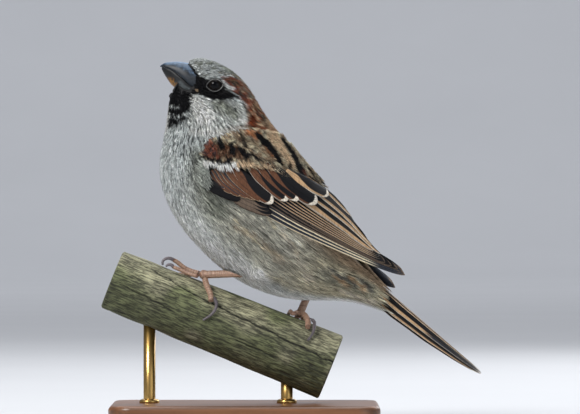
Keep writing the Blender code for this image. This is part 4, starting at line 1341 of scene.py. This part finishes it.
def lid_ring(side, middle, skin):
    """A closed ring of bare skin from inside the eye's opening out to the feathers.

    Round the eye the section goes over ten places: from under the ball's edge, over the lid,
    up to the pale ring, down to the skin, and back beneath.
    """
    turn = circle(96)
    opening, ring, outer = map(oval, [turn] * 3, (OPENING, RING, LID_REACH), CORNERS)
    reach = np.stack([opening - 0.3, opening - 0.02, opening + 0.08, ring - 0.10, ring,
                      ring + 0.07, ring + 0.15, outer, outer, opening - 0.3])
    tilt = turn + EYE_TILT
    x = middle[0] + reach * np.cos(tilt)
    z = middle[2] + reach * np.sin(tilt)
    ball = abs(middle[1]) + np.sqrt(np.maximum(EYE_RADIUS**2 - reach**2, 0.3))
    flat = np.abs(skin.place(joined(x, z))[..., 1])
    share = ramp(0, 1, (reach - opening) / (outer - opening))
    height = mixed(np.maximum(ball, ball[1]), flat, share)
    proud = np.array([-0.25, 0.05, 0.10, 0.08, 0.14, 0.12, 0.04, -0.15, -1.0, -1.2])[:, None]
    y = SIDES[side] * (height + proud)
    broken = 0.6 + 0.9 * noise(joined(x[4], z[4], 0), 0.9, 55)
    tone = np.array([0, 0, 0, 0.1, 1, 0.7, 0, 0, 0, 0])[:, None] * np.clip(broken, 0.5, 1)
    return joined(x, y, z), tone


def welded(points, faces):
    """Points that share a place made one."""
    _, first, index = np.unique(np.round(points, 4), axis=0, return_index=True, return_inverse=True)
    return points[first], index.reshape(-1)[faces]


def point_normals(points, faces):
    """Each point's normal, from its triangles' normals by their area."""
    a, b, c = (points[faces[:, k]] for k in range(3))
    own = np.cross(b - a, c - a)
    normal = np.zeros_like(points)
    for k in range(3):
        np.add.at(normal, faces[:, k], own)
    return unit(normal)


def grown_together(names, swell, voxel, rounds):
    """Some solids as one smooth closed skin: swollen, filled with voxels, smoothed and shrunk back."""
    points, faces = welded(*solid(*names))
    points = points + point_normals(points, faces) * swell
    rough = new_object("rough", add_mesh("rough", points, [faces]))
    remesh = rough.modifiers.new("Fill", "REMESH")
    remesh.mode, remesh.voxel_size = "VOXEL", voxel * MM
    smooth = rough.modifiers.new("Smooth", "SMOOTH")
    smooth.iterations = rounds
    graph = bpy.context.evaluated_depsgraph_get()
    done = bpy.data.meshes.new_from_object(rough.evaluated_get(graph))
    done.calc_loop_triangles()
    points, faces = points_of(done), values_of(done.loop_triangles, "vertices", 3)
    bpy.data.meshes.remove(done)
    bpy.data.meshes.remove(rough.data)
    return points - point_normals(points, faces) * swell, faces


SLICES = 6  # places in the middle line of a toe or shank


def middle_line(name):
    """Places along the middle of a long thin solid: the mean of each slice across its length."""
    points, _ = solid(name)
    _, along = along_axis(points)
    edges = np.linspace(along.min() - 0.01, along.max() + 0.01, SLICES + 1)
    inside = (along[None] >= edges[:-1, None]) & (along[None] <= edges[1:, None])
    counts = np.maximum(inside.sum(1), 1)[:, None]
    return ((inside[..., None] * points[None]).sum(1) / counts)[inside.any(1)]


TOES = ("middle", "inner", "outer", "hind")
SCALE_STEP = 0.95  # from one scale of a leg to the next
SCALE_DEPTH = 0.09


def leg_scales(points, normals, names):
    """How deep each point lies in a furrow between scales, 0 to 1, and how near a toe's joint.

    Along the nearest middle line the scales follow each other evenly. Furrows cross the upper
    side of toes and shank and fade towards the pads below.
    """
    best = np.full(len(points), np.inf)
    furrow, joint = np.zeros(len(points)), np.zeros(len(points))
    for name in names:
        line = middle_line(name)
        gap, share = line_distance(points, line)
        length = lengths(np.diff(line, axis=0)).sum()
        phase = share * length / SCALE_STEP % 1
        own = ramp(0.16, 0.0, np.minimum(phase, 1 - phase))
        knuckle = ramp(0.12, 0.0, np.abs(share * 3 % 1 - 0.5)) if "toe" in name else 0 * share
        nearer = gap < best
        best = np.where(nearer, gap, best)
        furrow, joint = np.where(nearer, own, furrow), np.where(nearer, knuckle, joint)
    upper = ramp(-0.5, 0.3, normals[:, 2] - 0.4 * normals[:, 0])
    return furrow * mixed(0.35, 1.0, upper), joint, upper


# ---- perch and stand

PERCH_ROWS, PERCH_ROUND, PERCH_CAP = 350, 200, 12
# Long cracks of the branch: distance along it and degrees from its top towards the left side,
# at both ends, and half width.
CRACKS = (
    ((2, 28), (38, 66), 0.22),
    ((32, 61), (82, 82), 0.34),
    ((3, 92), (24, 100), 0.16),
    ((44, 108), (62, 112), 0.14),
    ((20, -70), (52, -58), 0.25),
    ((30, 170), (64, 184), 0.25),
)


def perch_axis():
    """Both ends of the perch's axis with its radius there, from the points of its end faces."""
    points, _ = solid("perch")
    way, along = along_axis(points)
    along = along * np.sign(way[0])
    ends = []
    for chosen in (along < along.min() + 0.5, along > along.max() - 0.5):
        rim = points[chosen]
        centre = (rim.min(0) + rim.max(0)) / 2
        ends.append((centre, lengths(rim - centre).max()))
    return ends


def bark_relief(distance, degrees, radius):
    """How far the bark stands out or in at a place on the branch.

    Noise stretched along the grain makes ribs and furrows, coarser noise makes the branch
    uneven, and each crack is a groove that wanders a little and closes at its ends.
    """
    turn = np.radians(degrees)
    up, aside = np.cos(turn), np.sin(turn)
    uneven = 0.22 * noise(joined(distance / 9, up * 1.6, aside * 1.6), 1.0, 41)
    fine = joined(distance / 5.0, up * radius / 0.75, aside * radius / 0.75)
    ribs, finer = noise(fine, 1.0, 42), noise(fine * (2.0, 2.6, 2.6), 1.0, 43)
    furrow = ramp(0.12, 0.55, ribs) * 0.2 + ramp(0.1, 0.5, finer) * 0.16
    crack = np.zeros_like(distance)
    for (d0, a0), (d1, a1), half in CRACKS:
        share = np.clip((distance - d0) / (d1 - d0), 0, 1)
        centre = mixed(a0, a1, share) + 3.0 * noise(joined(distance, 0, 0), 3.0, 44)
        gap = np.abs((degrees - centre + 180) % 360 - 180) * np.pi / 180 * radius
        ends = ramp(d0 - 1, d0 + 3, distance) * ramp(d1 + 1, d1 - 3, distance)
        crack = np.maximum(crack, ramp(half + 0.12, half * 0.4, gap) * ends)
    return uneven - furrow - 0.7 * crack, furrow / 0.36, crack


def wood_finish():
    """Weathered wood: painted tint with flecks along the grain and a fine relief."""
    finish = Finish("perch_wood", Roughness=0.85)
    fleck = finish.grain(1.0, 4.0, 0.65, vector=finish.read("grain", "Vector"))
    return finish.tinted(fleck, 0.40, 0.60, 0.36, 1.4).bump(fleck, 0.5, 0.0002)


BASE_CORNER, BASE_EDGE = 8.0, 1.6


def base_rings():
    """The stand's base: its rounded rectangle drawn in along a quarter circle at both edges."""
    middle, size = middle_of("stand_base")
    turn = circle(96)
    corner = joined(np.cos(turn), np.sin(turn))
    quarter = np.linspace(0, np.pi / 2, 9)
    drawn = np.r_[8.0, BASE_EDGE * (1 - np.sin(quarter)), BASE_EDGE * (1 - np.cos(quarter)), 8.0]
    height = np.r_[size[2], size[2] - BASE_EDGE * (1 - np.cos(quarter)),
                   BASE_EDGE * (1 - np.sin(quarter)), 0.0]
    half = size[:2] / 2 - BASE_CORNER
    rings = half * np.sign(np.round(corner, 9)) + corner * (BASE_CORNER - drawn[:, None, None])
    return joined(rings[..., 0] + middle[0], rings[..., 1] + middle[1], height[:, None])[::-1]


# ---- body pieces

BODY_PIECES = (
    ("head", 0.0, 4.0, 3, "feather_crown"),
    ("neck", 4.0, 6.0, 4, "feather_neck"),
    ("breast", 6.0, 8.0, 4, "feather_grey"),
    ("belly", 8.0, 10.0, 4, "feather_grey"),
    ("rump", 10.0, 12.4, 4, "feather_grey"),
)
FLANK_LEAN = 0.32  # how far the lie of the flanks turns up to the tail, in radians
CHEEK_LEAN = 0.55  # and how far that of the cheeks turns to the nape
UNDER_WING = 8.0  # a wing this near over the body leaves no room for tufts
COAT_END, UNDER_END = 11.35, 11.55  # the last station with tufts, and that of those under the tail
UNDER_TAIL = -0.75  # the cosine of the turn past which a tuft counts as one of these
TUCK = 3  # rounds by which tufts still go under a wing's edge


def body_rings():
    """The sunk grid up to the tail, with two small rings at each end to close the poles."""
    surface = body_surface()
    inner = surface.inner[surface.station <= TAIL_ROOT]
    ends = [inner[k].mean(0) + (inner[k] - inner[k].mean(0)) * share for k, share in
            ((0, 0.03), (0, 0.6), (-1, 0.6), (-1, 0.03))]
    return np.concatenate([np.stack(ends[:2]), inner, np.stack(ends[2:])])


@lru_cache
def body_tree():
    """A search tree of the body's outline."""
    outer = body_surface().outer
    return tree_of(outer.reshape(-1, 3), grid_faces(*outer.shape[:2]))


def bare_cells():
    """Where the body grows no tufts: under the wings, inside the lids, on the face and the tail."""
    surface = body_surface()
    wings = tree_of(*solid("wing_left", "wing_right"))
    hit = ray_lengths(wings, surface.outer - surface.normal * 0.5, surface.normal, UNDER_WING)
    covered = np.where(np.isnan(hit), 0.0, 1.0)
    for _ in range(TUCK):
        covered = np.where(around(covered, True) < 0.99, 0.0, covered)
    for side, sign in SIDES.items():
        eye, _ = middle_of("eye_" + side)
        away = surface.outer - eye
        turn = np.arctan2(away[..., 2], away[..., 0]) - EYE_TILT
        reach = np.hypot(away[..., 0], away[..., 2])
        inside = (reach < oval(turn, LID_REACH, CORNERS[2]) - 0.1) & (surface.outer[..., 1] * sign > 0)
        covered = np.maximum(covered, inside)
    covered = np.maximum(covered, face_depth(surface.outer) > 0.1)
    under = np.cos(surface.turn) < UNDER_TAIL
    return np.maximum(covered, surface.station[:, None] > np.where(under, UNDER_END, COAT_END))


def grow_body_coat(sizes):
    """The coat of head and body, in pieces along it and on each side."""
    surface = body_surface()
    colours = colours_of("plumage")
    columns = surface.outer.shape[1]
    lean = ramp(4.0, 5.5, surface.station) * ramp(9.5, 7.5, surface.station)
    cheek = ramp(0.8, 1.8, surface.station) * ramp(4.6, 3.4, surface.station)
    turned = FLANK_LEAN * lean + CHEEK_LEAN * cheek
    fields = {"lie": -turned[:, None] * np.sin(surface.turn)[None, :]}
    fields["strand"] = strands(surface, fields["lie"])
    fields["length"] = np.repeat(surface.coat[:, 1:2], columns, 1)
    fields["width"] = np.repeat(surface.coat[:, 2:3], columns, 1)
    weights = surface.area * surface.coat[:, 3:4] * (1 - bare_cells()) * sizes.fullness
    material = coat_finish("small_feathers")

    def paint(places, row, column):
        station = np.interp(row, np.arange(len(surface.station)), surface.station)
        return body_colours(places, station, column / columns * 2 * np.pi, colours)

    for index, (name, start, end, rings, slot) in enumerate(BODY_PIECES):
        rows = (surface.station >= start) & (surface.station < end)
        first, last = np.flatnonzero(rows)[[0, -1]]
        for half, side in enumerate(SIDES):
            own = np.zeros(columns, bool)
            own[half * columns // 2:(half + 1) * columns // 2] = True
            cells = weights * rows[:, None] * own
            window = (first, last, half * columns / 2, (half + 1) * columns / 2)
            add_coat(f"coat_{name}_{side}", surface, cells, window, fields, paint, material, sizes,
                     2 * index + half, rings)


def grow_shoulder(side, sign, sizes, material):
    """The shoulder's tufts over wing and back, as a height field in side view."""
    colours = colours_of("plumage")
    low, high = (-17.0, 76.0), (30.0, 102.0)
    trees = [body_tree(), tree_of(*solid("wing_" + side))]
    sheet = side_sheet(trees, sign, low, high, step=0.4, sink=-2.0, depth=1.4, soft=50)
    plan = sheet.outer[..., [0, 2]].reshape(-1, 2)
    shape = sheet.outer.shape[:2]
    inside = ramp(0.3, -0.3, outline_distance(plan, SHOULDER_ROOTS)).reshape(shape)
    stops = np.array(SHOULDER_LIES)
    near = 1 / (lengths(plan[:, None] - stops[None, :, :2]) ** 3 + 1)
    lie = -np.radians((near * stops[:, 2]).sum(1) / near.sum(1)).reshape(shape)
    length, width, tufts = SHOULDER_BARB
    fields = {"lie": lie, "length": np.full(shape, length), "width": np.full(shape, width)}
    fields["strand"] = strands(sheet, lie)
    cells = inside * sheet.area * tufts * sizes.fullness

    def paint(places, row, column):
        return shoulder_colours(places, colours)

    window = (0, shape[0] - 1, 0, shape[1] - 1)
    add_coat(f"coat_shoulder_{side}", sheet, cells, window, fields, paint, material, sizes,
             SHOULDER_SEED + sign)


# ---- finishes of bare parts, wood and brass

SKIN_PAINTED_SHADE = 0.7  # how much darker the skin is than the coat over it, as painted shade beneath the coat
EYE_BLACK, EYE_BROWN = np.array([0.002, 0.002, 0.003]), np.array([0.006, 0.004, 0.003])
LID_DARK, LID_PALE = np.array([0.006, 0.006, 0.007]), np.array([0.44, 0.44, 0.42])
LEG_SWELL, LEG_VOXEL, LEG_SMOOTH = 0.22, 0.14, 6
CLAW_SWELL, CLAW_VOXEL, CLAW_SMOOTH = 0.1, 0.08, 4
CLAW_PLUMP = 0.14  # how much fuller the claws are than their solids


def eye_finish():
    """A wet eyeball: glossy, dark brown and black."""
    finish = Finish("eyeball", Roughness=0.1, Specular_IOR_Level=0.12)
    return finish.tinted(finish.grain(1500.0, 2.0), 0.3, 0.7, 0.8, 1.1)


def lid_finish():
    """Bare skin of the lids, pebbled with fine grains."""
    finish = Finish("lids", Roughness=0.7, Specular_IOR_Level=0.15)
    grains = finish.cells(5200.0)
    finish.between(grains, 0.1, 0.7, finish.read("tint"), (0.01, 0.01, 0.01, 1.0), 0.45)
    return finish.bump(grains, 0.6, 0.00012)


def bill_colours(grid, face, colours):
    """The bill's tint over its grid.

    The upper half is blue-grey, with a painted highlight along the ridge, and dark at tip and cutting edge.
    The lower half is dark, with a yellow-brown stripe low on its side and a pale grey base.
    """
    share = np.linspace(0, 1, BILL_RINGS)[:, None]
    rise = np.sin(np.linspace(0, np.pi, BILL_ROUND))
    cloud = noise(grid, 0.6, 51)
    if face > 0:
        # painted highlight: the horn lightened along the top of the ridge, where light from above falls
        base = laid(colours["horn"], colours["horn"] * 2.6, ramp(0.86, 1.0, rise + 0.05 * cloud))
        base = laid(base, colours["horn_dark"], 0.9 * ramp(0.72, 0.3, rise + 0.2 * cloud))
        return laid(base, colours["horn_dark"], 0.6 * ramp(0.8, 1.0, share + 0.05 * cloud))
    patch = ramp(0.50, 0.36, share + 0.12 * cloud) * ramp(0.1, 0.35, rise)
    base = laid(colours["horn_dark"], colours["horn_pale"], patch * (0.75 + 0.25 * cloud))
    stripe = ramp(0.50, 0.80, rise + 0.35 * cloud) * ramp(0.38, 0.5, share)
    stripe = stripe * ramp(0.78, 0.62, share + 0.15 * cloud)
    return laid(base, colours["gape"], 0.8 * stripe)


def bill_finish():
    """Horn: a soft gloss over fine streaks that run to the tip."""
    finish = Finish("horn", Roughness=0.42, Specular_IOR_Level=0.3)
    stretched = finish.places((420.0, 2200.0, 1100.0), (0.0, 0.5, 0.0))
    streaks = finish.grain(1.0, 4.0, 0.6, vector=stretched)
    return finish.tinted(streaks, 0.3, 0.7, 0.6, 1.4).gloss(streaks, 0.34, 0.5).bump(streaks, 0.25, 0.00008)


def leg_finish():
    """Scaly skin: the tint with fine cells, slightly glossy."""
    finish = Finish("leg_skin", Roughness=0.5, Subsurface_Weight=0.08, Subsurface_Scale=0.001)
    cells = finish.cells(2600.0)
    return finish.tinted(cells, 0.05, 0.6, 1.12, 0.8).bump(cells, 0.3, 0.0001)


def claw_finish():
    """Claws: dark horn with a faint streak."""
    finish = Finish("claw_horn", Roughness=0.3)
    streaks = finish.grain(1800.0)
    return finish.tinted(streaks, 0.3, 0.7, 0.8, 1.15).bump(streaks, 0.2, 0.00005)


def perch_rings(colours):
    """The branch as rings from one sawn end to the other, with each point's tint and grain.

    A point is axis + (up * cos + left * sin) * radius, where the radius is the solid's plus the
    bark's relief. The sawn ends are discs of shrinking rings.
    """
    (start, r0), (end, r1) = perch_axis()
    length = np.linalg.norm(end - start)
    way = (end - start) / length
    left = np.array([0.0, LEFT, 0.0])
    up = np.cross(way, left)
    up = up * np.sign(up[2])
    degrees = np.linspace(0, 360, PERCH_ROUND, endpoint=False)
    distance, degrees = np.meshgrid(np.linspace(0, length, PERCH_ROWS), degrees, indexing="ij")
    radius = mixed(r0, r1, distance / length)
    relief, furrow, crack = bark_relief(distance, degrees, radius)
    bevel = 0.5 * ramp(0.5, 0, np.minimum(distance, length - distance))
    radius = radius + relief - bevel
    turn = np.radians(degrees)
    spoke = up * np.cos(turn)[..., None] + left * np.sin(turn)[..., None]
    bark = start + way * distance[..., None] + spoke * radius[..., None]
    moss = noise(joined(distance / 8, degrees / 34, 0), 1.0, 45)
    low = ramp(50, 100, np.minimum(degrees, 360 - degrees))
    tint = laid(colours["bark"], colours["algae"], ramp(-0.4, 0.5, moss + 0.6 * low) * 0.8)
    # painted shade: the bark darkened towards the branch's underside
    tint = tint * (1 - 0.35 * low[..., None])
    fade = noise(joined(distance / 3, degrees / 9, 0), 1.0, 46)
    tint = tint * (1 + 0.26 * fade[..., None])
    # painted shade in the hollows: the furrows darkened and the cracks nearly to black
    tint = laid(tint, colours["bark_dark"], np.clip(furrow * 0.65 + crack * 1.5, 0, 1))
    grain = joined(distance * 0.3, radius * np.cos(turn) * 1.9, radius * np.sin(turn) * 1.9)
    inward = np.linspace(0.985, 0.01, PERCH_CAP)[:, None]
    parts = []
    for row, centre in ((0, start), (-1, end)):
        rim = bark[row]
        disc = centre + (rim - centre) * inward[..., None]
        reach = inward * radius[row]
        rings = np.abs(np.sin(reach * 4.0 + 0.6 * noise(disc, 4.0, 47)))
        wood = laid(colours["heart"], colours["heart"] * 0.62, rings**3)
        wood = laid(wood, colours["bark_dark"], ramp(0.93, 1.0, inward) * 0.6)
        wood = mixed(wood, colours["bark"], 0.35)
        parts.append((disc, wood, disc * 1.5))
    low, high = parts
    return [np.concatenate([first[::-1], side, last]) for first, side, last in
            zip(low, (bark, tint, grain), high)]


def board_finish(colour):
    """Waxed board: long grain along X with darker lines, and a soft shine."""
    finish = Finish("board", Roughness=0.38, Coat_Weight=0.2, Coat_Roughness=0.25)
    lines = finish.grain(1.0, 5.0, 0.6, 0.4, finish.places((14.0, 260.0, 260.0)))
    finish.between(lines, 0.32, 0.68, opaque(colour * 0.55), opaque(colour * 1.25))
    return finish.gloss(lines, 0.32, 0.46).bump(lines, 0.15, 0.0002)


def brass_finish(colour):
    """Brushed brass with a light tarnish."""
    finish = Finish("brass", Metallic=1.0, Roughness=0.3)
    brush = finish.grain(1.0, vector=finish.places((900.0, 900.0, 60.0)))
    finish.between(brush, 0.35, 0.75, opaque(colour), opaque(colour * 0.6))
    return finish.gloss(brush, 0.22, 0.4).bump(brush, 0.1, 0.00005)


COLLAR = 1.4  # how far a rod's collar stands out, and how high it is


def rod_rings(name):
    """A rod turned from its profile: a rounded collar on the base, then the plain shaft."""
    middle, size = middle_of(name)
    radius = size[0] / 2
    foot = middle_of("stand_base")[1][2]
    bottom, top = middle[2] - size[2] / 2, middle[2] + size[2] / 2
    quarter = np.linspace(0, np.pi / 2, 7)
    out = np.r_[radius, radius, radius + COLLAR, radius + COLLAR * np.cos(quarter),
                radius, radius, radius * 0.05]
    height = np.r_[bottom, foot - 0.2, foot - 0.2, foot + COLLAR * 0.4 + COLLAR * 0.6 * np.sin(quarter),
                   foot + COLLAR * 1.05, top, top]
    turn = circle(48)
    x = middle[0] + out[:, None] * np.cos(turn)
    y = middle[1] + out[:, None] * np.sin(turn)
    return joined(x, y, height[:, None])


# ---- stage

VIEW_DISTANCE = 2000.0
VIEW_CENTRE, VIEW_WIDTH = (15.075, 72.66), 194.3  # what the camera frames at the bird's midplane
BIRD = (VIEW_CENTRE[0], 0, VIEW_CENTRE[1])
# Area lights: name, place, what it looks at, edge length, power, colour.
LIGHTS = (
    ("key", (-700, -900, 900), BIRD, 500, 17.0, (1.0, 0.98, 0.95)),
    ("fill", (900, -1000, 250), BIRD, 900, 3.0, (0.93, 0.96, 1.0)),
    ("top", (50, 100, 1100), BIRD, 900, 9.0, (0.96, 0.98, 1.0)),
    ("rim", (500, 700, 500), BIRD, 600, 4.0, (1.0, 1.0, 1.0)),
    ("backdrop", (0, 3400, 3000), (0, 4200, 0), 3000, 60.0, (0.97, 0.98, 1.0)),
)
WORLD_LIGHT = 0.32


def sweep_mesh():
    """The floor, which turns up along a quarter circle into a wall behind."""
    bend, back, near, tall, half = 1200.0, 5200.0, -5200.0, 5000.0, 7000.0
    angle = np.linspace(0, np.pi / 2, 24)
    y = np.r_[np.linspace(near, back - bend, 12), back - bend + bend * np.sin(angle), back]
    z = np.r_[np.zeros(12), bend * (1 - np.cos(angle)), tall]
    grid = joined(np.linspace(-half, half, 12), y[:, None], z[:, None])
    return add_mesh("floor", grid.reshape(-1, 3), [grid_faces(len(y), 12, columns_close=False)])


def floor_finish():
    """Matt pale paper with a faint grain."""
    finish = Finish("paper", Roughness=0.9)
    light, dark = (0.56, 0.57, 0.59, 1.0), (0.52, 0.53, 0.55, 1.0)
    return finish.send("Base Color", finish.blend(finish.grain(6.0), dark, light))


def aim(obj, place, target):
    """Puts an object at a place in millimetres, looking at the target."""
    obj.location = Vector(place) * MM
    obj.rotation_euler = (Vector(target) - Vector(place)).to_track_quat("-Z", "Y").to_euler()


def add_light(name, place, target, size, power, colour):
    """A square area light that looks at the target."""
    lamp = bpy.data.lights.new(name, "AREA")
    lamp.shape, lamp.size = "SQUARE", size * MM
    lamp.energy, lamp.color = power, colour
    aim(new_object(name, lamp), place, target)


def add_camera():
    """The camera, level and square on to the bird's left side."""
    lens = bpy.data.cameras.new("camera")
    lens.sensor_width = 36.0
    lens.lens = lens.sensor_width * VIEW_DISTANCE / VIEW_WIDTH
    lens.clip_end = 20.0
    camera = new_object("camera", lens)
    aim(camera, (BIRD[0], -VIEW_DISTANCE, BIRD[2]), BIRD)
    bpy.context.scene.camera = camera


# ---- operators


class SPARROW_OT_skin(Operator):
    """Makes the one skin of head, neck, trunk and thighs, sunk below the outline by the coat's depth"""

    bl_idname = "sparrow.skin"
    bl_label = "Skin"

    def execute(self, context):
        surface = body_surface()
        rings = body_rings()
        shape = sleeves(rings)
        station = surface.station[surface.station <= TAIL_ROOT]
        station = np.r_[[0, 0], station, [TAIL_ROOT, TAIL_ROOT]]
        station = np.repeat(station[:, None], rings.shape[1], 1).ravel()
        turn = np.broadcast_to(surface.turn, rings.shape[:2]).ravel()
        tint = body_colours(shape[0], station, turn, colours_of("plumage"))
        # the skin takes the coat's markings, darkened as painted shade beneath the coat
        add_piece("skin", shape, skin_finish(), FLESH, tint * SKIN_PAINTED_SHADE)
        return {"FINISHED"}


class SPARROW_OT_coat(Operator):
    """Grows the small feathers of head and body"""

    bl_idname = "sparrow.coat"
    bl_label = "Body feathers"

    def execute(self, context):
        grow_body_coat(context.scene.sparrow.coat)
        return {"FINISHED"}


class SPARROW_OT_shoulders(Operator):
    """Grows the small feathers of shoulders and wing fronts"""

    bl_idname = "sparrow.shoulders"
    bl_label = "Shoulder feathers"

    def execute(self, context):
        material = coat_finish("shoulder_feathers")
        for side, sign in SIDES.items():
            grow_shoulder(side, sign, context.scene.sparrow.coat, material)
        return {"FINISHED"}


class SPARROW_OT_wings(Operator):
    """Lays the wings' large feathers, from the primaries up to the greater coverts"""

    bl_idname = "sparrow.wings"
    bl_label = "Wing feathers"

    def execute(self, context):
        colours = colours_of("plumage")
        material = vane_finish("wing_feathers", 0.55)
        for side, sign in SIDES.items():
            name = "wing_" + side
            drop = RIGHT_WING_DROP if side == "right" else 0.0
            trees = [tree_of(*solid(name))]
            sheet = side_sheet(trees, sign, (-20, 44), (60, 98), step=0.5, sink=0.9, soft=14, drop=drop)
            add_vanes(name + "_flight", sheet, WING_GROUPS[:3], colours, material, (name,))
            add_vanes(name + "_coverts", sheet, WING_GROUPS[3:], colours, material)
        return {"FINISHED"}


class SPARROW_OT_tail(Operator):
    """Lays the twelve tail feathers"""

    bl_idname = "sparrow.tail"
    bl_label = "Tail feathers"

    def execute(self, context):
        colours = colours_of("plumage")
        material = vane_finish("tail_feathers", 0.5)
        add_vanes("tail_feathers", tail_sheet(), tail_groups(), colours, material, ("tail",))
        return {"FINISHED"}


class SPARROW_OT_eyes(Operator):
    """Sets the eyes and their lids"""

    bl_idname = "sparrow.eyes"
    bl_label = "Eyes"

    def execute(self, context):
        ball_finish = eye_finish()
        bare_finish = lid_finish()
        for side, sign in SIDES.items():
            rings, middle = eye_ball(side)
            gap = np.hypot(rings[..., 0] - middle[0], rings[..., 2] - middle[2])
            brown = ramp(PUPIL - 0.05, PUPIL + 0.1, gap) * ramp(IRIS, IRIS - 0.3, gap)
            tint = laid(EYE_BLACK, EYE_BROWN, brown)
            add_piece("eyeball_" + side, sleeves(rings), ball_finish, ("eye_" + side,), tint)
            centre = middle[[0, 2]]
            face = side_sheet([body_tree()], sign, centre - 6, centre + 6, step=0.3, sink=0.0, soft=6)
            grid, tone = lid_ring(side, middle, face)
            quads = grid_faces(*grid.shape[:2], rows_close=True)
            shape = grid.reshape(-1, 3), [quads if sign > 0 else quads[:, ::-1]]
            tint = laid(LID_DARK, LID_PALE, tone)
            add_piece("lids_" + side, shape, bare_finish, tint=tint)
        return {"FINISHED"}


class SPARROW_OT_bill(Operator):
    """Shapes the two halves of the bill"""

    bl_idname = "sparrow.bill"
    bl_label = "Bill"

    def execute(self, context):
        colours = colours_of("bare")
        material = bill_finish()
        for name, stations, face in (("bill_upper", BILL_UPPER, 1), ("bill_lower", BILL_LOWER, -1)):
            rings = bill_half(stations, face)
            tint = bill_colours(rings, face, colours)
            add_piece(name + "_horn", sleeves(rings), material, (name,), tint)
        return {"FINISHED"}


class SPARROW_OT_legs(Operator):
    """Grows each shank and its toes into one scaled skin"""

    bl_idname = "sparrow.legs"
    bl_label = "Legs"

    def execute(self, context):
        colours = colours_of("bare")
        material = leg_finish()
        for side in SIDES:
            names = ["tarsus_" + side] + [f"toe_{side}_{toe}" for toe in TOES]
            points, faces = grown_together(names, LEG_SWELL, LEG_VOXEL, LEG_SMOOTH)
            normals = point_normals(points, faces)
            furrow, joint, upper = leg_scales(points, normals, names)
            cloud = noise(points, 0.5, 61)
            points = points - normals * (SCALE_DEPTH * furrow)[:, None]
            tint = laid(colours["leg"], colours["leg_dark"], np.clip(0.25 * cloud + 0.12, 0, 1))
            dark = np.clip(0.75 * furrow + 0.35 * joint * upper, 0, 1)
            tint = laid(tint, colours["leg_dark"], dark)
            add_piece("leg_" + side, (points, [faces]), material, names, tint)
        return {"FINISHED"}


class SPARROW_OT_claws(Operator):
    """Smooths each foot's claws"""

    bl_idname = "sparrow.claws"
    bl_label = "Claws"

    def execute(self, context):
        colours = colours_of("bare")
        material = claw_finish()
        for side in SIDES:
            names = [f"claw_{side}_{toe}" for toe in TOES]
            points, faces = grown_together(names, CLAW_SWELL, CLAW_VOXEL, CLAW_SMOOTH)
            points = points + point_normals(points, faces) * CLAW_PLUMP
            place = points[:, None] - np.array([middle_of(name)[0] for name in names])
            gap = lengths(place).min(1)
            tint = laid(colours["claw"], colours["claw"] * 0.6, ramp(0.5, 2.5, gap))
            add_piece("claws_" + side, (points, [faces]), material, names, tint)
        return {"FINISHED"}


class SPARROW_OT_perch(Operator):
    """Shapes the cut length of branch with its furrows, cracks and sawn ends"""

    bl_idname = "sparrow.perch"
    bl_label = "Perch"

    def execute(self, context):
        colours = colours_of("stand")
        rings, tint, grain = perch_rings(colours)
        mesh = add_piece("branch", sleeves(rings), wood_finish(), ("perch",), tint)
        put_vectors(mesh, "grain", grain)
        return {"FINISHED"}


class SPARROW_OT_stand(Operator):
    """Turns the rods and rounds the base of the display stand"""

    bl_idname = "sparrow.stand"
    bl_label = "Stand"

    def execute(self, context):
        colours = colours_of("stand")
        board, brass = board_finish(colours["base"]), brass_finish(colours["brass"])
        add_piece("base_board", sleeves(base_rings()), board, ("stand_base",))
        for end in ("front", "back"):
            name = "stand_rod_" + end
            add_piece("rod_" + end, sleeves(rod_rings(name)), brass, (name,))
        return {"FINISHED"}


class SPARROW_OT_stage(Operator):
    """Adds the floor, which sweeps up behind, the lights and the camera"""

    bl_idname = "sparrow.stage"
    bl_label = "Stage"

    def execute(self, context):
        mesh = sweep_mesh()
        mesh.materials.append(floor_finish().material)
        new_object("floor", mesh)
        for light in LIGHTS:
            add_light(*light)
        world = bpy.data.worlds.new("studio")
        world.use_nodes = True
        world.node_tree.nodes["Background"].inputs["Color"].default_value = (0.86, 0.90, 1.0, 1.0)
        world.node_tree.nodes["Background"].inputs["Strength"].default_value = WORLD_LIGHT
        context.scene.world = world
        add_camera()
        context.scene.view_settings.view_transform = "Standard"
        return {"FINISHED"}


class SPARROW_PT_panel(Panel):
    """Lists the steps and the settings"""

    bl_idname = "SPARROW_PT_panel"
    bl_label = "House sparrow"
    bl_space_type = "VIEW_3D"
    bl_region_type = "UI"
    bl_category = "Sparrow"

    def draw(self, context):
        layout = self.layout
        settings = context.scene.sparrow
        for group in (settings.plumage, settings.coat, settings.bare, settings.stand):
            column = layout.column(align=True)
            for name in type(group).__annotations__:
                column.prop(group, name)
        for step in STEPS:
            layout.operator(step.bl_idname)


STEPS = (
    SPARROW_OT_skin, SPARROW_OT_coat, SPARROW_OT_shoulders, SPARROW_OT_wings, SPARROW_OT_tail,
    SPARROW_OT_eyes, SPARROW_OT_bill, SPARROW_OT_legs, SPARROW_OT_claws, SPARROW_OT_perch,
    SPARROW_OT_stand, SPARROW_OT_stage,
)
SETTINGS = (PlumageColours, CoatSizes, BarePartColours, StandColours, SparrowSettings)
CLASSES = SETTINGS + STEPS + (SPARROW_PT_panel,)


def register():
    """Registers the classes and hangs the settings on the scene."""
    for each in CLASSES:
        bpy.utils.register_class(each)
    bpy.types.Scene.sparrow = PointerProperty(type=SparrowSettings)


def unregister():
    """Takes the settings and the classes away again."""
    del bpy.types.Scene.sparrow
    for each in reversed(CLASSES):
        bpy.utils.unregister_class(each)


def main():
    """Makes every piece in order."""
    register()
    for step in STEPS:
        family, name = step.bl_idname.split(".")
        getattr(getattr(bpy.ops, family), name)()


if __name__ == "__main__":
    main()
